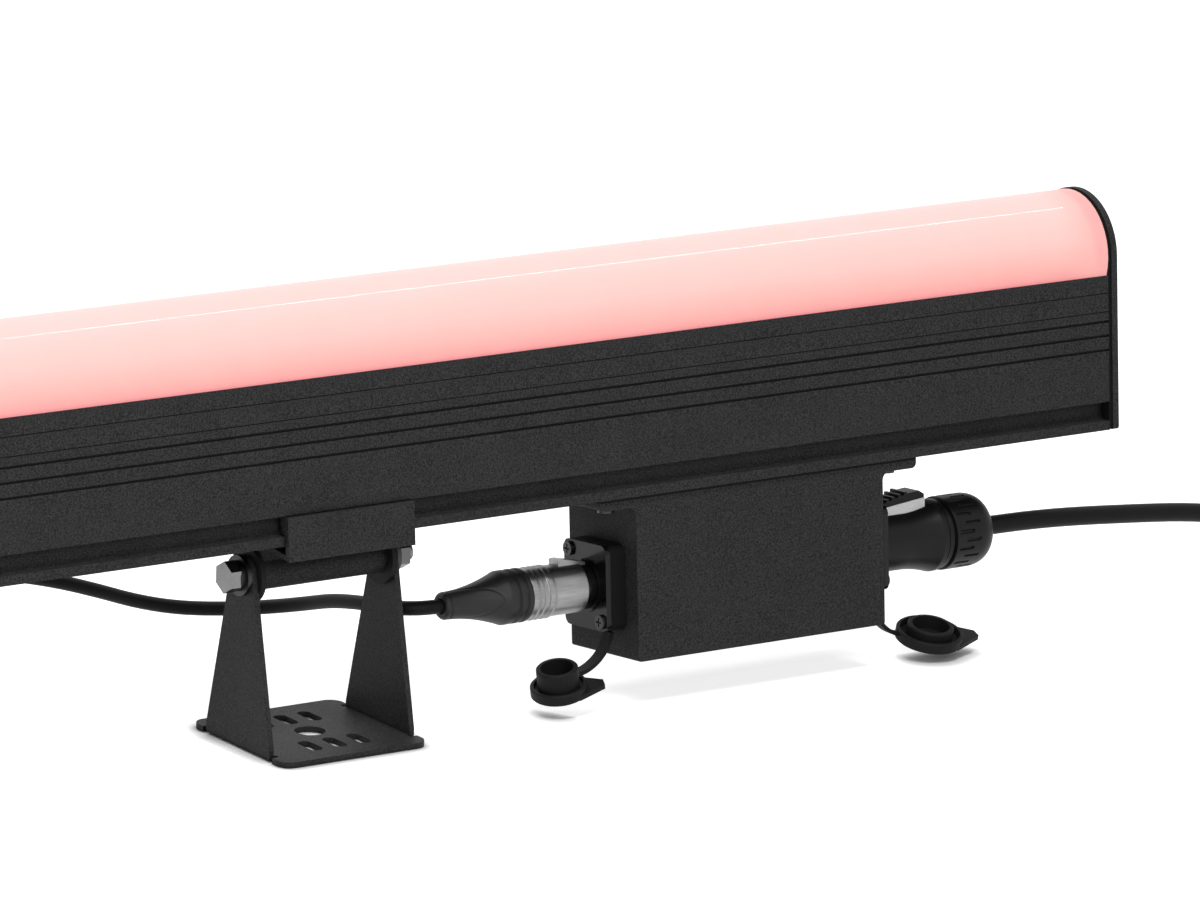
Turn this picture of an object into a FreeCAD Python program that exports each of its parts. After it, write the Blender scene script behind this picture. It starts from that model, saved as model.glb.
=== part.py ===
import FreeCAD, Part
import math
import os
import re

import Sketcher

# Outdoor wall washer light: a long black extruded housing with a glowing half-round diffuser,
# a connector box under its right half, and two tilting brackets that slide along it.
#
# World frame: +X along the lamp, +Y away from the viewer, +Z up, zero on the floor that both
# bracket feet stand on.  The lamp's own pieces are drawn upright about the pivot axis, which
# is their zero, and are then leaned back by the tilt angle and lifted to the pivot height.

Vector = FreeCAD.Vector

SIZES = {
    # how the lamp stands
    "lamp_length": 1000.0,
    "tilt_angle": 5.5,
    "pivot_height": 62.0,
    "pivot_drop": 12.6,
    # extruded housing
    "housing_width": 45.0,
    "housing_height": 57.0,
    "housing_wall": 2.2,
    "lip_height": 3.5,
    "slot_height": 7.0,
    "slot_depth": 3.4,
    "slot_reach": 5.3,
    "deck_depth": 8.0,
    "deck_thickness": 2.0,
    "groove_start": 29.7,
    "groove_pitch": 5.25,
    "groove_width": 0.9,
    "groove_depth": 0.8,
    "seam_rise": 50.6,
    "ledge_rise": 43.8,
    "seam_width": 0.35,
    "port_radius": 3.0,
    "port_inset": 1.0,
    "port_low": 17.0,
    "port_high": 41.0,
    "wire_hole_radius": 6.0,
    # diffuser
    "dome_centre": 64.0,
    "dome_radius": 22.6,
    "dome_wall": 1.8,
    "dome_seat_depth": 4.5,
    "seal_thickness": 1.0,
    "seat_clearance": 0.05,
    # light boards and what feeds them
    "board_width": 28.0,
    "board_thickness": 1.6,
    "board_gap": 0.6,
    "board_margin": 2.0,
    "led_size": 5.0,
    "led_height": 1.6,
    "supply_length": 150.0,
    "supply_width": 31.0,
    "supply_height": 24.0,
    "driver_start": 180.0,
    "driver_length": 100.0,
    "wire_radius": 3.0,
    "wire_bend": 9.0,
    "wire_rise": 22.0,
    "wire_tail": 8.0,
    "grommet_lip": 1.5,
    # end caps
    "cap_radius": 23.0,
    "cap_thickness": 2.65,
    "cap_corner": 1.2,
    "cap_gasket_thickness": 1.2,
    "cap_gasket_inset": 0.15,
    "cap_screw_radius": 1.25,
    "cap_screw_head": 2.9,
    "cap_screw_depth": 1.7,
    "cap_screw_length": 12.0,
    "screw_clearance": 0.05,
    # connector box
    "box_start": 286.0,
    "box_length": 108.0,
    "box_width": 42.0,
    "box_reach": 59.7,
    "box_wall": 2.5,
    "box_edge": 1.0,
    "box_fillet": 3.0,
    "box_gasket_thickness": 1.1,
    "tab_length": 15.0,
    "tab_thickness": 3.0,
    "tab_corner": 2.0,
    "box_screw_spread": 13.0,
    "box_screw_radius": 1.6,
    "box_screw_head": 2.9,
    "box_screw_head_height": 1.9,
    "box_screw_grip": 1.0,
    # panel sockets
    "connector_drop": 21.3,
    "flange_width": 26.0,
    "flange_height": 31.0,
    "flange_thickness": 2.0,
    "flange_corner": 3.0,
    "flange_screw_across": 9.5,
    "flange_screw_up": 12.0,
    "flange_screw_radius": 1.4,
    "flange_screw_head": 2.6,
    "flange_screw_head_height": 1.1,
    "flange_screw_grip": 1.5,
    "block_thickness": 6.0,
    "barrel_radius": 11.8,
    "barrel_length": 22.0,
    "barrel_back": 3.0,
    "collar_radius": 9.6,
    "collar_proud": 0.8,
    "pin_tail": 2.0,
    # data plug
    "data_nose_radius": 8.25,
    "data_nose_length": 14.0,
    "data_core_radius": 7.6,
    "data_shell_front": 8.5,
    "data_shell_rear": 9.6,
    "data_shell_length": 23.65,
    "data_shell_gap": 4.35,
    "data_step": 14.55,
    "shell_step_edge": 0.5,
    "shell_edge": 0.4,
    "shell_groove_start": 4.3,
    "shell_groove_pitch": 2.2,
    "shell_groove_width": 0.55,
    "shell_groove_depth": 0.35,
    "insert_start": 2.0,
    "data_latch_length": 11.5,
    "data_latch_overhang": 2.4,
    "data_boot_length": 33.8,
    "data_boot_tip": 4.95,
    "data_boot_bore": 6.0,
    "boot_tip_edge": 0.8,
    "boot_tip_length": 1.2,
    "boot_collar_length": 9.5,
    "boot_bulge": 0.1,
    "boot_curve": 40.0,
    "boot_groove_start": 2.6,
    "boot_groove_pitch": 3.3,
    "boot_groove_width": 0.7,
    "boot_groove_depth": 0.5,
    "boot_edge": 0.3,
    "plug_fit": 0.2,
    "pin_radius": 0.75,
    "pin_circle": 4.6,
    "latch_width": 6.0,
    "latch_clearance": 0.1,
    "latch_travel": 1.0,
    "latch_shoe_gap": 0.3,
    "latch_toe": 1.0,
    "latch_back_rise": 1.2,
    "latch_crest_rise": 1.4,
    "latch_crest": 2.0,
    # power plug
    "power_nose_radius": 8.9,
    "power_nose_length": 16.0,
    "power_nose_hollow": 12.0,
    "power_nose_wall": 1.0,
    "power_gap": 1.1,
    "power_waist": 11.2,
    "power_flare": 13.4,
    "power_body_length": 28.0,
    "power_waist_length": 12.0,
    "power_flare_curve": 45.0,
    "power_flare_lip": 2.5,
    "power_edge": 0.6,
    "power_bed": 10.0,
    "power_latch_width": 9.6,
    "power_latch_length": 21.0,
    "power_latch_start": 1.6,
    "power_latch_low": 2.7,
    "power_latch_high": 5.0,
    "grip_inset": 0.4,
    "grip_low": 1.1,
    "grip_crest": 2.2,
    "grip_top": 2.6,
    "grip_edge": 1.2,
    "grip_crest_length": 7.5,
    "grip_rib_width": 1.2,
    "grip_rib_height": 1.3,
    "grip_rib_root": 0.4,
    "nut_radius": 12.9,
    "nut_length": 27.6,
    "nut_rib": 0.6,
    "nut_rib_width": 2.6,
    "nut_rib_length": 9.0,
    "nut_rib_place": 6.0,
    "nut_straight": 14.0,
    "nut_crown": 3.5,
    "nut_crown_width": 5.0,
    "nut_mouth": 1.8,
    "nut_curve": 14.0,
    "nut_edge": 0.5,
    "turning_clearance": 0.08,
    "contact_radius": 1.5,
    "contact_circle": 3.6,
    # brackets
    "bracket_place": 164.5,
    "bracket_width": 60.0,
    "bracket_depth": 60.8,
    "sheet_thickness": 2.0,
    "foot_corner": 5.0,
    "ear_half_width": 20.4,
    "ear_straight": 4.0,
    "ear_top_radius": 7.0,
    "ear_slope": 14.0,
    "notch_width": 2.0,
    "notch_depth": 3.0,
    "fold_radius": 1.9,
    "centre_hole_radius": 5.5,
    "slot_width": 5.0,
    "slot_length": 12.0,
    "slot_pitch": 10.0,
    "slot_row": 15.75,
    # sliding clamps
    "clamp_plate": 2.0,
    "clamp_fit": 0.15,
    "clamp_foot": 5.4,
    "clamp_rise": 10.2,
    "hook_start": 3.8,
    "hook_reach": 3.0,
    "arch_thickness": 2.2,
    "arch_radius": 100.0,
    "barrel_tube_radius": 6.0,
    "neck_half_width": 4.0,
    "set_screw_radius": 2.0,
    "set_screw_spread": 12.0,
    # pivot bolts
    "bolt_radius": 2.97,
    "pivot_clearance": 0.08,
    "hex_across": 10.0,
    "bolt_head_height": 4.0,
    "nut_height": 5.0,
    "thread_end": 2.5,
    "outer_washer_radius": 7.2,
    "outer_washer_thickness": 1.6,
    "spring_washer_radius": 5.4,
    "spring_washer_thickness": 1.6,
    "spacer_radius": 10.0,
    "spacer_thickness": 1.95,
    # rubber caps and their straps
    "data_disc_radius": 10.2,
    "data_disc_height": 4.0,
    "data_cup_radius": 7.5,
    "data_cup_height": 6.5,
    "data_groove_floor": 2.4,
    "data_pull": 6.0,
    "power_disc_radius": 12.4,
    "power_disc_height": 4.0,
    "power_cup_radius": 8.5,
    "power_cup_height": 2.2,
    "power_groove_floor": 1.3,
    "power_pull": 7.0,
    "cup_wall": 1.6,
    "cup_floor": 1.2,
    "rim_wall": 1.3,
    "rubber_edge": 0.4,
    "pull_width": 4.0,
    "pull_thickness": 1.8,
    "strap_width": 4.5,
    "strap_thickness": 1.5,
    "strap_bend": 15.5,
    "strap_place": -11.5,
    "strap_clearance": 0.25,
    "strap_overlap": 2.4,
    "data_cap_reach": 27.3,
    "data_cap_drop": 18.7,
    "data_strap_drop": 14.6,
    "power_cap_reach": 27.0,
    "power_cap_drop": 20.1,
    "power_strap_drop": 18.3,
    "cap_row": -16.0,
    # leads
    "data_cable_radius": 2.6,
    "data_exit": 3.0,
    "data_coil_radius": 31.0,
    "power_cable_radius": 3.5,
    "power_entry": 8.0,
    "power_exit": 9.4,
    "power_coil_radius": 42.0,
    "coil_slack": 0.3,
    "far_plug_reach": 12.0,
    "mains_plug_reach": 24.0,
    "mains_radius": 18.0,
    "mains_body_length": 34.0,
    "mains_boot_length": 28.0,
    "mains_boot_tip": 5.5,
    "mains_edge": 1.0,
    "mains_shoulder": 3.0,
    "mains_shoulder_curve": 12.0,
    "mains_boot_end": 4.0,
    "mains_boot_flare": 3.5,
    "mains_pin_radius": 2.4,
    "mains_pin_length": 19.0,
    "mains_pin_spread": 9.5,
}

SIZE_NAMES = re.compile(r"\b(" + "|".join(SIZES) + r")\b")

# Heights in the upright lamp, measured from the pivot axis.
HALF = "(housing_width / 2)"
BOTTOM = "pivot_drop"
TOP = "(pivot_drop + housing_height)"
LEDGE = "(pivot_drop + housing_height - dome_seat_depth)"
DECK = "(pivot_drop + housing_height - deck_depth)"
SLOT_LOW = "(pivot_drop + lip_height)"
SLOT_HIGH = "(pivot_drop + lip_height + slot_height)"
STEP = "(pivot_drop + lip_height + slot_height + housing_wall)"
INNER = "(housing_width / 2 - housing_wall)"
CORE = "(housing_width / 2 - slot_reach - housing_wall)"
DOME_AXIS = "(pivot_drop + dome_centre)"
DOME_RISE = "(dome_centre - housing_height)"
FOOT_OUTER = "sqrt(dome_radius ^ 2 - %s ^ 2)" % DOME_RISE
FOOT_INNER = "sqrt((dome_radius - dome_wall) ^ 2 - %s ^ 2)" % DOME_RISE
HOUSING_LENGTH = "(lamp_length - 2 * (cap_thickness + cap_gasket_thickness))"

# Places along the lamp.
BOX_MIDDLE = "(box_start + box_length / 2)"
BOX_END = "(box_start + box_length)"
BOX_TOP = "(pivot_drop - box_gasket_thickness)"
BOX_BOTTOM = "(pivot_drop - box_reach)"
TAB_UNDER = "(pivot_drop - box_gasket_thickness - tab_thickness)"
AXIS = "(-connector_drop)"
DATA_FACE = "(box_start - block_thickness - flange_thickness)"
POWER_FACE = "(box_start + box_length + block_thickness + flange_thickness)"
SHELL_FRONT = "(box_start - block_thickness - flange_thickness - data_shell_gap)"
SHELL_BACK = "(box_start - block_thickness - flange_thickness - data_shell_gap - data_shell_length)"
NUT_START = "(box_start + box_length + block_thickness + flange_thickness + power_body_length)"

INWARD = -1
WHOLE_TURN = 360.0
LED_COUNT_PER_BOARD = 24
NUT_RIB_COUNT = 16
PIN_COUNT = 5
CONTACT_COUNT = 3
GRIP_RIB_COUNT = 5
OVERREACH = "1"

# The driver board's parts: share of the board before each, then length, width and height.
DRIVER_PARTS = ((0.15, 12, 12, 1.6), (0.4, 18, 12, 2.4), (0.72, 10, 24, 9))

# How each rubber cap hangs: turns about axes in degrees, then the way that its pull points.
DATA_CAP_TURNS = ((Vector(0, 1, 0), -12.6), (Vector(1, 0, 0), 6.0))
DATA_PULL_TURN = -25
POWER_CAP_TURNS = ((Vector(1, 0, 0), 12.0),)
POWER_PULL_TURN = -10

# Where the put-away length of each lead is coiled on the floor.
DATA_COIL = Vector(-70, 130, 0)
POWER_COIL = Vector(690, 57, 0)

document = FreeCAD.newDocument("wall_washer")
sheet = document.addObject("Spreadsheet::Sheet", "sizes")
for row, (size_name, size) in enumerate(SIZES.items(), start=1):
    sheet.set("A%d" % row, size_name)
    sheet.set("B%d" % row, str(size))
    sheet.setAlias("B%d" % row, size_name)
document.recompute()

nodes = {}


def bound(expression):
    """The same expression with each size's name pointing at its cell of the sheet."""
    return SIZE_NAMES.sub(r"sizes.\1", str(expression))


def value(expression):
    """What an expression of sizes comes to."""
    return float(sheet.evalExpression(bound(expression)))


def bind(thing, **properties):
    """Ties properties of an object to expressions of sizes; a double underscore is a dot."""
    for name, expression in properties.items():
        thing.setExpression(name.replace("__", "."), bound(expression))


def node(thing, label):
    """Marks an object as one of the finished pieces and gives it its name."""
    thing.Label = label
    nodes[label] = thing
    return thing


def move(thing, x="0", y="0", z="0"):
    """Ties an object's place to sizes and leaves its rotation as it is."""
    bind(thing, Placement__Base__x=x, Placement__Base__y=y, Placement__Base__z=z)
    return thing


def lean(thing):
    """Leans a piece that was drawn upright back about the pivot and lifts it there."""
    thing.Placement = FreeCAD.Placement(Vector(), FreeCAD.Rotation(Vector(1, 0, 0), -1))
    bind(thing, Placement__Rotation__Angle="-tilt_angle * 1 deg")
    return move(thing, z="pivot_height")


# ---------------------------------------------------------------- sketches and features

def new_body(label):
    return node(document.addObject("PartDesign::Body", label), label)


def sketch_on(body, plane, across="0", up="0", out="0"):
    """An empty sketch on one of the body's own planes, with its zero moved in that plane."""
    support = [feature for feature in body.Origin.OriginFeatures if feature.Role == plane][0]
    sketch = body.newObject("Sketcher::SketchObject", body.Name + "_sketch")
    sketch.AttachmentSupport = [(support, "")]
    sketch.MapMode = "FlatFace"
    for direction, distance in (("x", across), ("y", up), ("z", out)):
        sketch.setExpression("AttachmentOffset.Base." + direction, bound(distance))
    return sketch


def pin(sketch, edge, spot, x, y):
    """Holds an end or centre of an edge at x and y from the sketch's zero."""
    for kind, distance in (("DistanceX", x), ("DistanceY", y)):
        constraint = Sketcher.Constraint(kind, -1, 1, edge, spot, value(distance))
        sketch.setExpression("Constraints[%d]" % sketch.addConstraint(constraint), bound(distance))


def set_radius(sketch, edge, radius):
    constraint = Sketcher.Constraint("Radius", edge, value(radius))
    sketch.setExpression("Constraints[%d]" % sketch.addConstraint(constraint), bound(radius))


def add_edge(sketch, start, stop, bend):
    """A straight or round edge between two corners; returns it with its start and stop ends."""
    if not bend:
        return sketch.addGeometry(Part.LineSegment(start, stop)), 1, 2
    radius = value(bend[0])
    side = bend[1] if len(bend) > 1 else 1
    chord = stop - start
    middle = (start + stop) / 2
    offset = math.sqrt(max(radius ** 2 - (chord.Length / 2) ** 2, 0.0))
    centre = middle + Vector(-chord.y, chord.x, 0).normalize() * offset * side
    first, last = (start, stop) if side > 0 else (stop, start)
    angles = [math.atan2(end.y - centre.y, end.x - centre.x) for end in (first, last)]
    arc = Part.ArcOfCircle(Part.Circle(centre, Vector(0, 0, 1), radius), *angles)
    ends = (1, 2) if side > 0 else (2, 1)
    return (sketch.addGeometry(arc),) + ends


def outline(sketch, points):
    """A closed outline, anticlockwise.  A point is (x, y), or (x, y, radius) where the edge
    that leaves it is an arc, with INWARD after the radius where the arc is hollow."""
    corners = [Vector(value(point[0]), value(point[1]), 0) for point in points]
    edges = []
    for index, point in enumerate(points):
        following = corners[(index + 1) % len(corners)]
        edges.append(add_edge(sketch, corners[index], following, point[2:]))
    for index, (edge, start, stop) in enumerate(edges):
        next_edge, next_start, next_stop = edges[(index + 1) % len(edges)]
        sketch.addConstraint(Sketcher.Constraint("Coincident", edge, stop, next_edge, next_start))
    for (edge, start, stop), point in zip(edges, points):
        pin(sketch, edge, start, point[0], point[1])
        if len(point) > 2:
            set_radius(sketch, edge, point[2])
    return sketch


def both_sides(half, closing=()):
    """The right half of an outline, from its foot up, completed with its mirror image."""
    left = []
    for index in range(len(half) - 1, -1, -1):
        bend = half[index - 1][2:] if index > 0 else closing
        left.append(("-(%s)" % half[index][0], half[index][1]) + tuple(bend))
    return list(half) + left


def rectangle(sketch, x_low, x_high, y_low, y_high):
    return outline(sketch, [(x_low, y_low), (x_high, y_low), (x_high, y_high), (x_low, y_high)])


def circle(sketch, x, y, radius):
    shape = Part.Circle(Vector(value(x), value(y), 0), Vector(0, 0, 1), value(radius))
    edge = sketch.addGeometry(shape)
    pin(sketch, edge, 3, x, y)
    set_radius(sketch, edge, radius)
    return sketch


def through_feature(kind, body, sketch, length):
    """A pad or pocket that reaches half its length to each side of the sketch."""
    feature = body.newObject("PartDesign::" + kind, body.Name + "_" + kind.lower())
    feature.Profile = sketch
    feature.SideType = "Symmetric"
    bind(feature, Length=length)
    document.recompute()
    return feature


def pad(body, sketch, length):
    return through_feature("Pad", body, sketch, length)


def pocket(body, sketch, length):
    return through_feature("Pocket", body, sketch, length)


def turn(body, sketch, axis="H_Axis"):
    """Turns a sketch all the way round one of its own axes."""
    feature = body.newObject("PartDesign::Revolution", body.Name + "_turn")
    feature.Profile = sketch
    feature.ReferenceAxis = (sketch, [axis])
    feature.Angle = WHOLE_TURN
    document.recompute()
    return feature


def turned_body(label, points, up=AXIS):
    """A round piece about a line along X: each point is a place along X and a radius."""
    body = new_body(label)
    turn(body, outline(sketch_on(body, "XZ_Plane", up=up), points))
    return body


def around(body, feature, sketch, count, axis="H_Axis"):
    """Repeats a feature evenly round one axis of its sketch."""
    pattern = body.newObject("PartDesign::PolarPattern", body.Name + "_round")
    pattern.Originals = [feature]
    pattern.Axis = (sketch, [axis])
    pattern.Angle = WHOLE_TURN
    pattern.Occurrences = count
    body.Tip = pattern
    document.recompute()
    return pattern


def round_edges(body, radius, spots):
    """Fillets the edges whose middles lie at the given spots."""
    document.recompute()
    tip = body.Tip
    names = []
    for index, edge in enumerate(tip.Shape.Edges, start=1):
        middle = edge.valueAt((edge.FirstParameter + edge.LastParameter) / 2)
        if any(middle.distanceToPoint(spot) < 0.01 for spot in spots):
            names.append("Edge%d" % index)
    fillet = body.newObject("PartDesign::Fillet", body.Name + "_fillet")
    fillet.Base = (tip, names)
    bind(fillet, Radius=radius)
    document.recompute()
    return fillet


# ---------------------------------------------------------------- plain solids

def block(name, x_low, x_high, y_low, y_high, z_low, z_high):
    solid = document.addObject("Part::Box", name)
    bind(solid, Length="(%s) - (%s)" % (x_high, x_low), Width="(%s) - (%s)" % (y_high, y_low),
         Height="(%s) - (%s)" % (z_high, z_low))
    return move(solid, x_low, y_low, z_low)


TURNS = {
    "+X": FreeCAD.Rotation(Vector(0, 1, 0), 90),
    "-X": FreeCAD.Rotation(Vector(0, 1, 0), -90),
    "+Z": FreeCAD.Rotation(),
    "-Z": FreeCAD.Rotation(Vector(1, 0, 0), 180),
}


def rod(name, direction, x, y, z, radius, length):
    solid = document.addObject("Part::Cylinder", name)
    solid.Placement = FreeCAD.Placement(Vector(), TURNS[direction])
    bind(solid, Radius=radius, Height=length)
    return move(solid, x, y, z)


def hexagon(name, direction, x, y, z, across, length):
    solid = document.addObject("Part::Prism", name)
    solid.Polygon = 6
    solid.Placement = FreeCAD.Placement(Vector(), TURNS[direction])
    bind(solid, Circumradius="(%s) / sqrt(3)" % across, Height=length)
    return move(solid, x, y, z)


def cut(name, base, tool):
    result = document.addObject("Part::Cut", name)
    result.Base = base
    result.Tool = tool
    return result


def fuse(name, first, second):
    result = document.addObject("Part::Fuse", name)
    result.Base = first
    result.Tool = second
    return result


def group(label, solids):
    """Several separate solids that share one node."""
    result = document.addObject("Part::Compound", label)
    result.Links = solids
    return node(result, label)


def washer(name, direction, x, y, z, radius, bore, thickness):
    disc = rod(name + "_disc", direction, x, y, z, radius, thickness)
    hole = rod(name + "_hole", direction, x, y, z, bore, thickness)
    return cut(name, disc, hole)


def screw(name, direction, x, y, z, head, head_height, shank, length):
    """A cross-head screw seated at a face; its direction is the way that the head looks."""
    opposite = {"+X": "-X", "-X": "+X", "+Z": "-Z", "-Z": "+Z"}[direction]
    top = rod(name + "_head", direction, x, y, z, head, head_height)
    stem = rod(name + "_shank", opposite, x, y, z, shank, length)
    whole = fuse(name + "_solid", top, stem)
    cross = document.addObject("Part::Fuse", name + "_cross")
    arms = []
    for index, turn_angle in enumerate((0, 90)):
        arm = document.addObject("Part::Box", "%s_arm_%d" % (name, index))
        bind(arm, Length="1.3 * (%s)" % head, Width="0.26 * (%s)" % head,
             Height="0.6 * (%s)" % head_height)
        arm.Placement = FreeCAD.Placement(Vector(), FreeCAD.Rotation(Vector(0, 0, 1), turn_angle))
        sign_x, sign_y = ((-1, -1), (1, -1))[index]
        long_half = "0.65 * (%s)" % head
        thin_half = "0.13 * (%s)" % head
        if index == 0:
            move(arm, "%d * %s" % (sign_x, long_half), "%d * %s" % (sign_y, thin_half))
        else:
            move(arm, "%d * %s" % (sign_x, thin_half), "%d * %s" % (sign_y, long_half))
        arms.append(arm)
    cross.Base, cross.Tool = arms
    cross.Placement = FreeCAD.Placement(Vector(), TURNS[direction])
    rise = "(0.42 * (%s))" % head_height
    step = {"+X": (1, 0), "-X": (-1, 0), "+Z": (0, 1), "-Z": (0, -1)}[direction]
    move(cross, "(%s) + %d * %s" % (x, step[0], rise), y, "(%s) + %d * %s" % (z, step[1], rise))
    return cut(name, whole, cross)


# ---------------------------------------------------------------- the lamp's housing

def port_places():
    """Centres of the four screw ports at a housing end, across and up."""
    for side in ("", "-"):
        for rise in ("port_low", "port_high"):
            yield "%s(%s - port_inset)" % (side, INNER), "(pivot_drop + %s)" % rise


def box_screw_places():
    """Centres of the four screws through the box's tabs, along and across."""
    for along in ("(box_start - tab_length / 2)", "(%s + tab_length / 2)" % BOX_END):
        for side in ("", "-"):
            yield along, side + "box_screw_spread"


def cut_side_lines(body, rises, width, depth):
    """Shallow straight lines along both sides of the housing."""
    sketch = sketch_on(body, "YZ_Plane")
    for rise in rises:
        low = "(pivot_drop + %s - %s / 2)" % (rise, width)
        high = "(pivot_drop + %s + %s / 2)" % (rise, width)
        rectangle(sketch, "%s - %s" % (HALF, depth), "%s + %s" % (HALF, OVERREACH), low, high)
        rectangle(sketch, "-%s - %s" % (HALF, OVERREACH), "-%s + %s" % (HALF, depth), low, high)
    return pocket(body, sketch, HOUSING_LENGTH), sketch


def make_housing():
    body = new_body("housing_profile")
    slot_bulge = "(slot_reach - slot_depth)"
    slot_arc = "((slot_height ^ 2 / 4 + %s ^ 2) / (2 * %s))" % (slot_bulge, slot_bulge)
    slot_face = "(%s - slot_depth)" % HALF
    seat = "(%s + seat_clearance)" % FOOT_OUTER
    section = sketch_on(body, "YZ_Plane")
    outline(section, both_sides([
        (HALF, BOTTOM),
        (HALF, SLOT_LOW),
        (slot_face, SLOT_LOW, slot_arc, INWARD),
        (slot_face, SLOT_HIGH),
        (HALF, SLOT_HIGH),
        (HALF, TOP),
        (seat, TOP),
        (seat, LEDGE),
        (INNER, LEDGE),
        (INNER, DECK),
    ]))
    pad(body, section, HOUSING_LENGTH)
    cavity = sketch_on(body, "YZ_Plane")
    outline(cavity, both_sides([
        (CORE, "%s + housing_wall" % BOTTOM),
        (CORE, STEP),
        (INNER, STEP),
        (INNER, "%s - deck_thickness" % DECK),
    ]))
    pocket(body, cavity, HOUSING_LENGTH)
    bosses = sketch_on(body, "YZ_Plane")
    for across, up in port_places():
        circle(bosses, across, up, "port_radius")
    pad(body, bosses, HOUSING_LENGTH)
    ports = sketch_on(body, "YZ_Plane")
    for across, up in port_places():
        circle(ports, across, up, "cap_screw_radius + screw_clearance")
    pocket(body, ports, HOUSING_LENGTH)
    cut_side_lines(body, ("ledge_rise", "seam_rise"), "seam_width", "seam_width")
    groove, groove_sketch = cut_side_lines(body, ("groove_start",), "groove_width", "groove_depth")
    grooves = body.newObject("PartDesign::LinearPattern", "grooves")
    grooves.Originals = [groove]
    grooves.Direction = (groove_sketch, ["V_Axis"])
    grooves.Occurrences = 3
    bind(grooves, Length="2 * groove_pitch")
    body.Tip = grooves
    document.recompute()
    floor_holes = sketch_on(body, "XY_Plane", out="%s + housing_wall / 2" % BOTTOM)
    circle(floor_holes, BOX_MIDDLE, "0", "wire_hole_radius")
    for along, across in box_screw_places():
        circle(floor_holes, along, across, "box_screw_radius + screw_clearance")
    pocket(body, floor_holes, "1.5 * housing_wall")
    lean(body)


def make_diffuser():
    body = new_body("diffuser_dome")
    inner_radius = "dome_radius - dome_wall"
    foot = "%s + seal_thickness" % LEDGE
    sketch = sketch_on(body, "YZ_Plane")
    outline(sketch, [
        (FOOT_OUTER, foot),
        (FOOT_OUTER, TOP, "dome_radius"),
        ("0", "%s + dome_radius" % DOME_AXIS, "dome_radius"),
        ("-" + FOOT_OUTER, TOP),
        ("-" + FOOT_OUTER, foot),
        ("-" + FOOT_INNER, foot),
        ("-" + FOOT_INNER, TOP, inner_radius, INWARD),
        ("0", "%s + %s" % (DOME_AXIS, inner_radius), inner_radius, INWARD),
        (FOOT_INNER, TOP),
        (FOOT_INNER, foot),
    ])
    pad(body, sketch, HOUSING_LENGTH)
    lean(body)
    end = "%s / 2" % HOUSING_LENGTH
    seals = [block("seal_front", "-" + end, end, "-" + FOOT_OUTER, "-" + FOOT_INNER, LEDGE, foot),
             block("seal_back", "-" + end, end, FOOT_INNER, FOOT_OUTER, LEDGE, foot)]
    lean(group("diffuser_seals", seals))


def make_light_boards():
    half_width = "board_width / 2"
    top = "%s + board_thickness" % DECK
    reach = "(%s / 2 - board_margin)" % HOUSING_LENGTH
    boards = [block("board_left", "-" + reach, "-board_gap / 2", "-" + half_width, half_width, DECK, top),
              block("board_right", "board_gap / 2", reach, "-" + half_width, half_width, DECK, top)]
    lean(group("led_boards", boards))
    leds = []
    pitch = "((%s - board_gap / 2) / %d)" % (reach, LED_COUNT_PER_BOARD)
    for index in range(-LED_COUNT_PER_BOARD, LED_COUNT_PER_BOARD):
        middle = "(%s * %.1f)" % (pitch, index + 0.5)
        if index >= 0:
            middle = "(board_gap / 2 + %s)" % middle
        else:
            middle = "(%s - board_gap / 2)" % middle
        leds.append(block("led", middle + " - led_size / 2", middle + " + led_size / 2",
                          "-led_size / 2", "led_size / 2", top, top + " + led_height"))
    lean(group("leds", leds))


def make_electronics():
    half_width = "supply_width / 2"
    supply = block("supply_case", "-supply_length / 2", "supply_length / 2", "-" + half_width,
                   half_width, STEP, STEP + " + supply_height")
    lean(group("power_supply", [supply]))
    board_end = "(driver_start + driver_length)"
    board_top = "(%s + board_thickness)" % STEP
    board = block("driver_card", "driver_start", board_end, "-" + half_width, half_width, STEP, board_top)
    lean(group("pixel_driver_board", [board]))
    chips = []
    for place, length, width, height in DRIVER_PARTS:
        start = "driver_start + %g * driver_length" % place
        chips.append(block("chip", start, "%s + %g" % (start, length), "-%g / 2" % width,
                           "%g / 2" % width, board_top, "%s + %g" % (board_top, height)))
    lean(group("driver_components", chips))


def make_wires():
    floor = "%s + housing_wall" % BOTTOM
    flange = "(wire_hole_radius + grommet_lip)"
    lean(turned_wire_grommet(floor, flange))
    start = Vector(value(BOX_MIDDLE), 0, value(AXIS) + value("wire_rise") / 2)
    corner = Vector(start.x, 0, value(STEP + " + board_thickness + wire_radius"))
    stop = Vector(value("driver_start + driver_length - wire_tail"), 0, corner.z)
    feature = document.addObject("Part::Feature", "wire_bundle")
    feature.Shape = tube_along([start, corner, stop], value("wire_radius"), value("wire_bend"))
    lean(node(feature, "wire_bundle"))


def turned_wire_grommet(floor, flange):
    """A rubber ring in the housing's floor that the wires pass through."""
    body = new_body("wire_grommet")
    sketch = sketch_on(body, "XZ_Plane", across=BOX_MIDDLE)
    outline(sketch, [
        ("wire_radius", BOTTOM),
        ("wire_hole_radius", BOTTOM),
        ("wire_hole_radius", floor),
        (flange, floor),
        (flange, floor + " + grommet_lip"),
        ("wire_radius", floor + " + grommet_lip"),
    ])
    turn(body, sketch, "V_Axis")
    return body


# ---------------------------------------------------------------- end caps

def cap_outline(radius):
    return both_sides([
        ("%s - cap_corner" % radius, BOTTOM, "cap_corner"),
        (radius, "%s + cap_corner" % BOTTOM),
        (radius, DOME_AXIS, radius),
        ("0.6 * (%s)" % radius, "%s + 0.8 * (%s)" % (DOME_AXIS, radius), radius),
    ])


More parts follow.
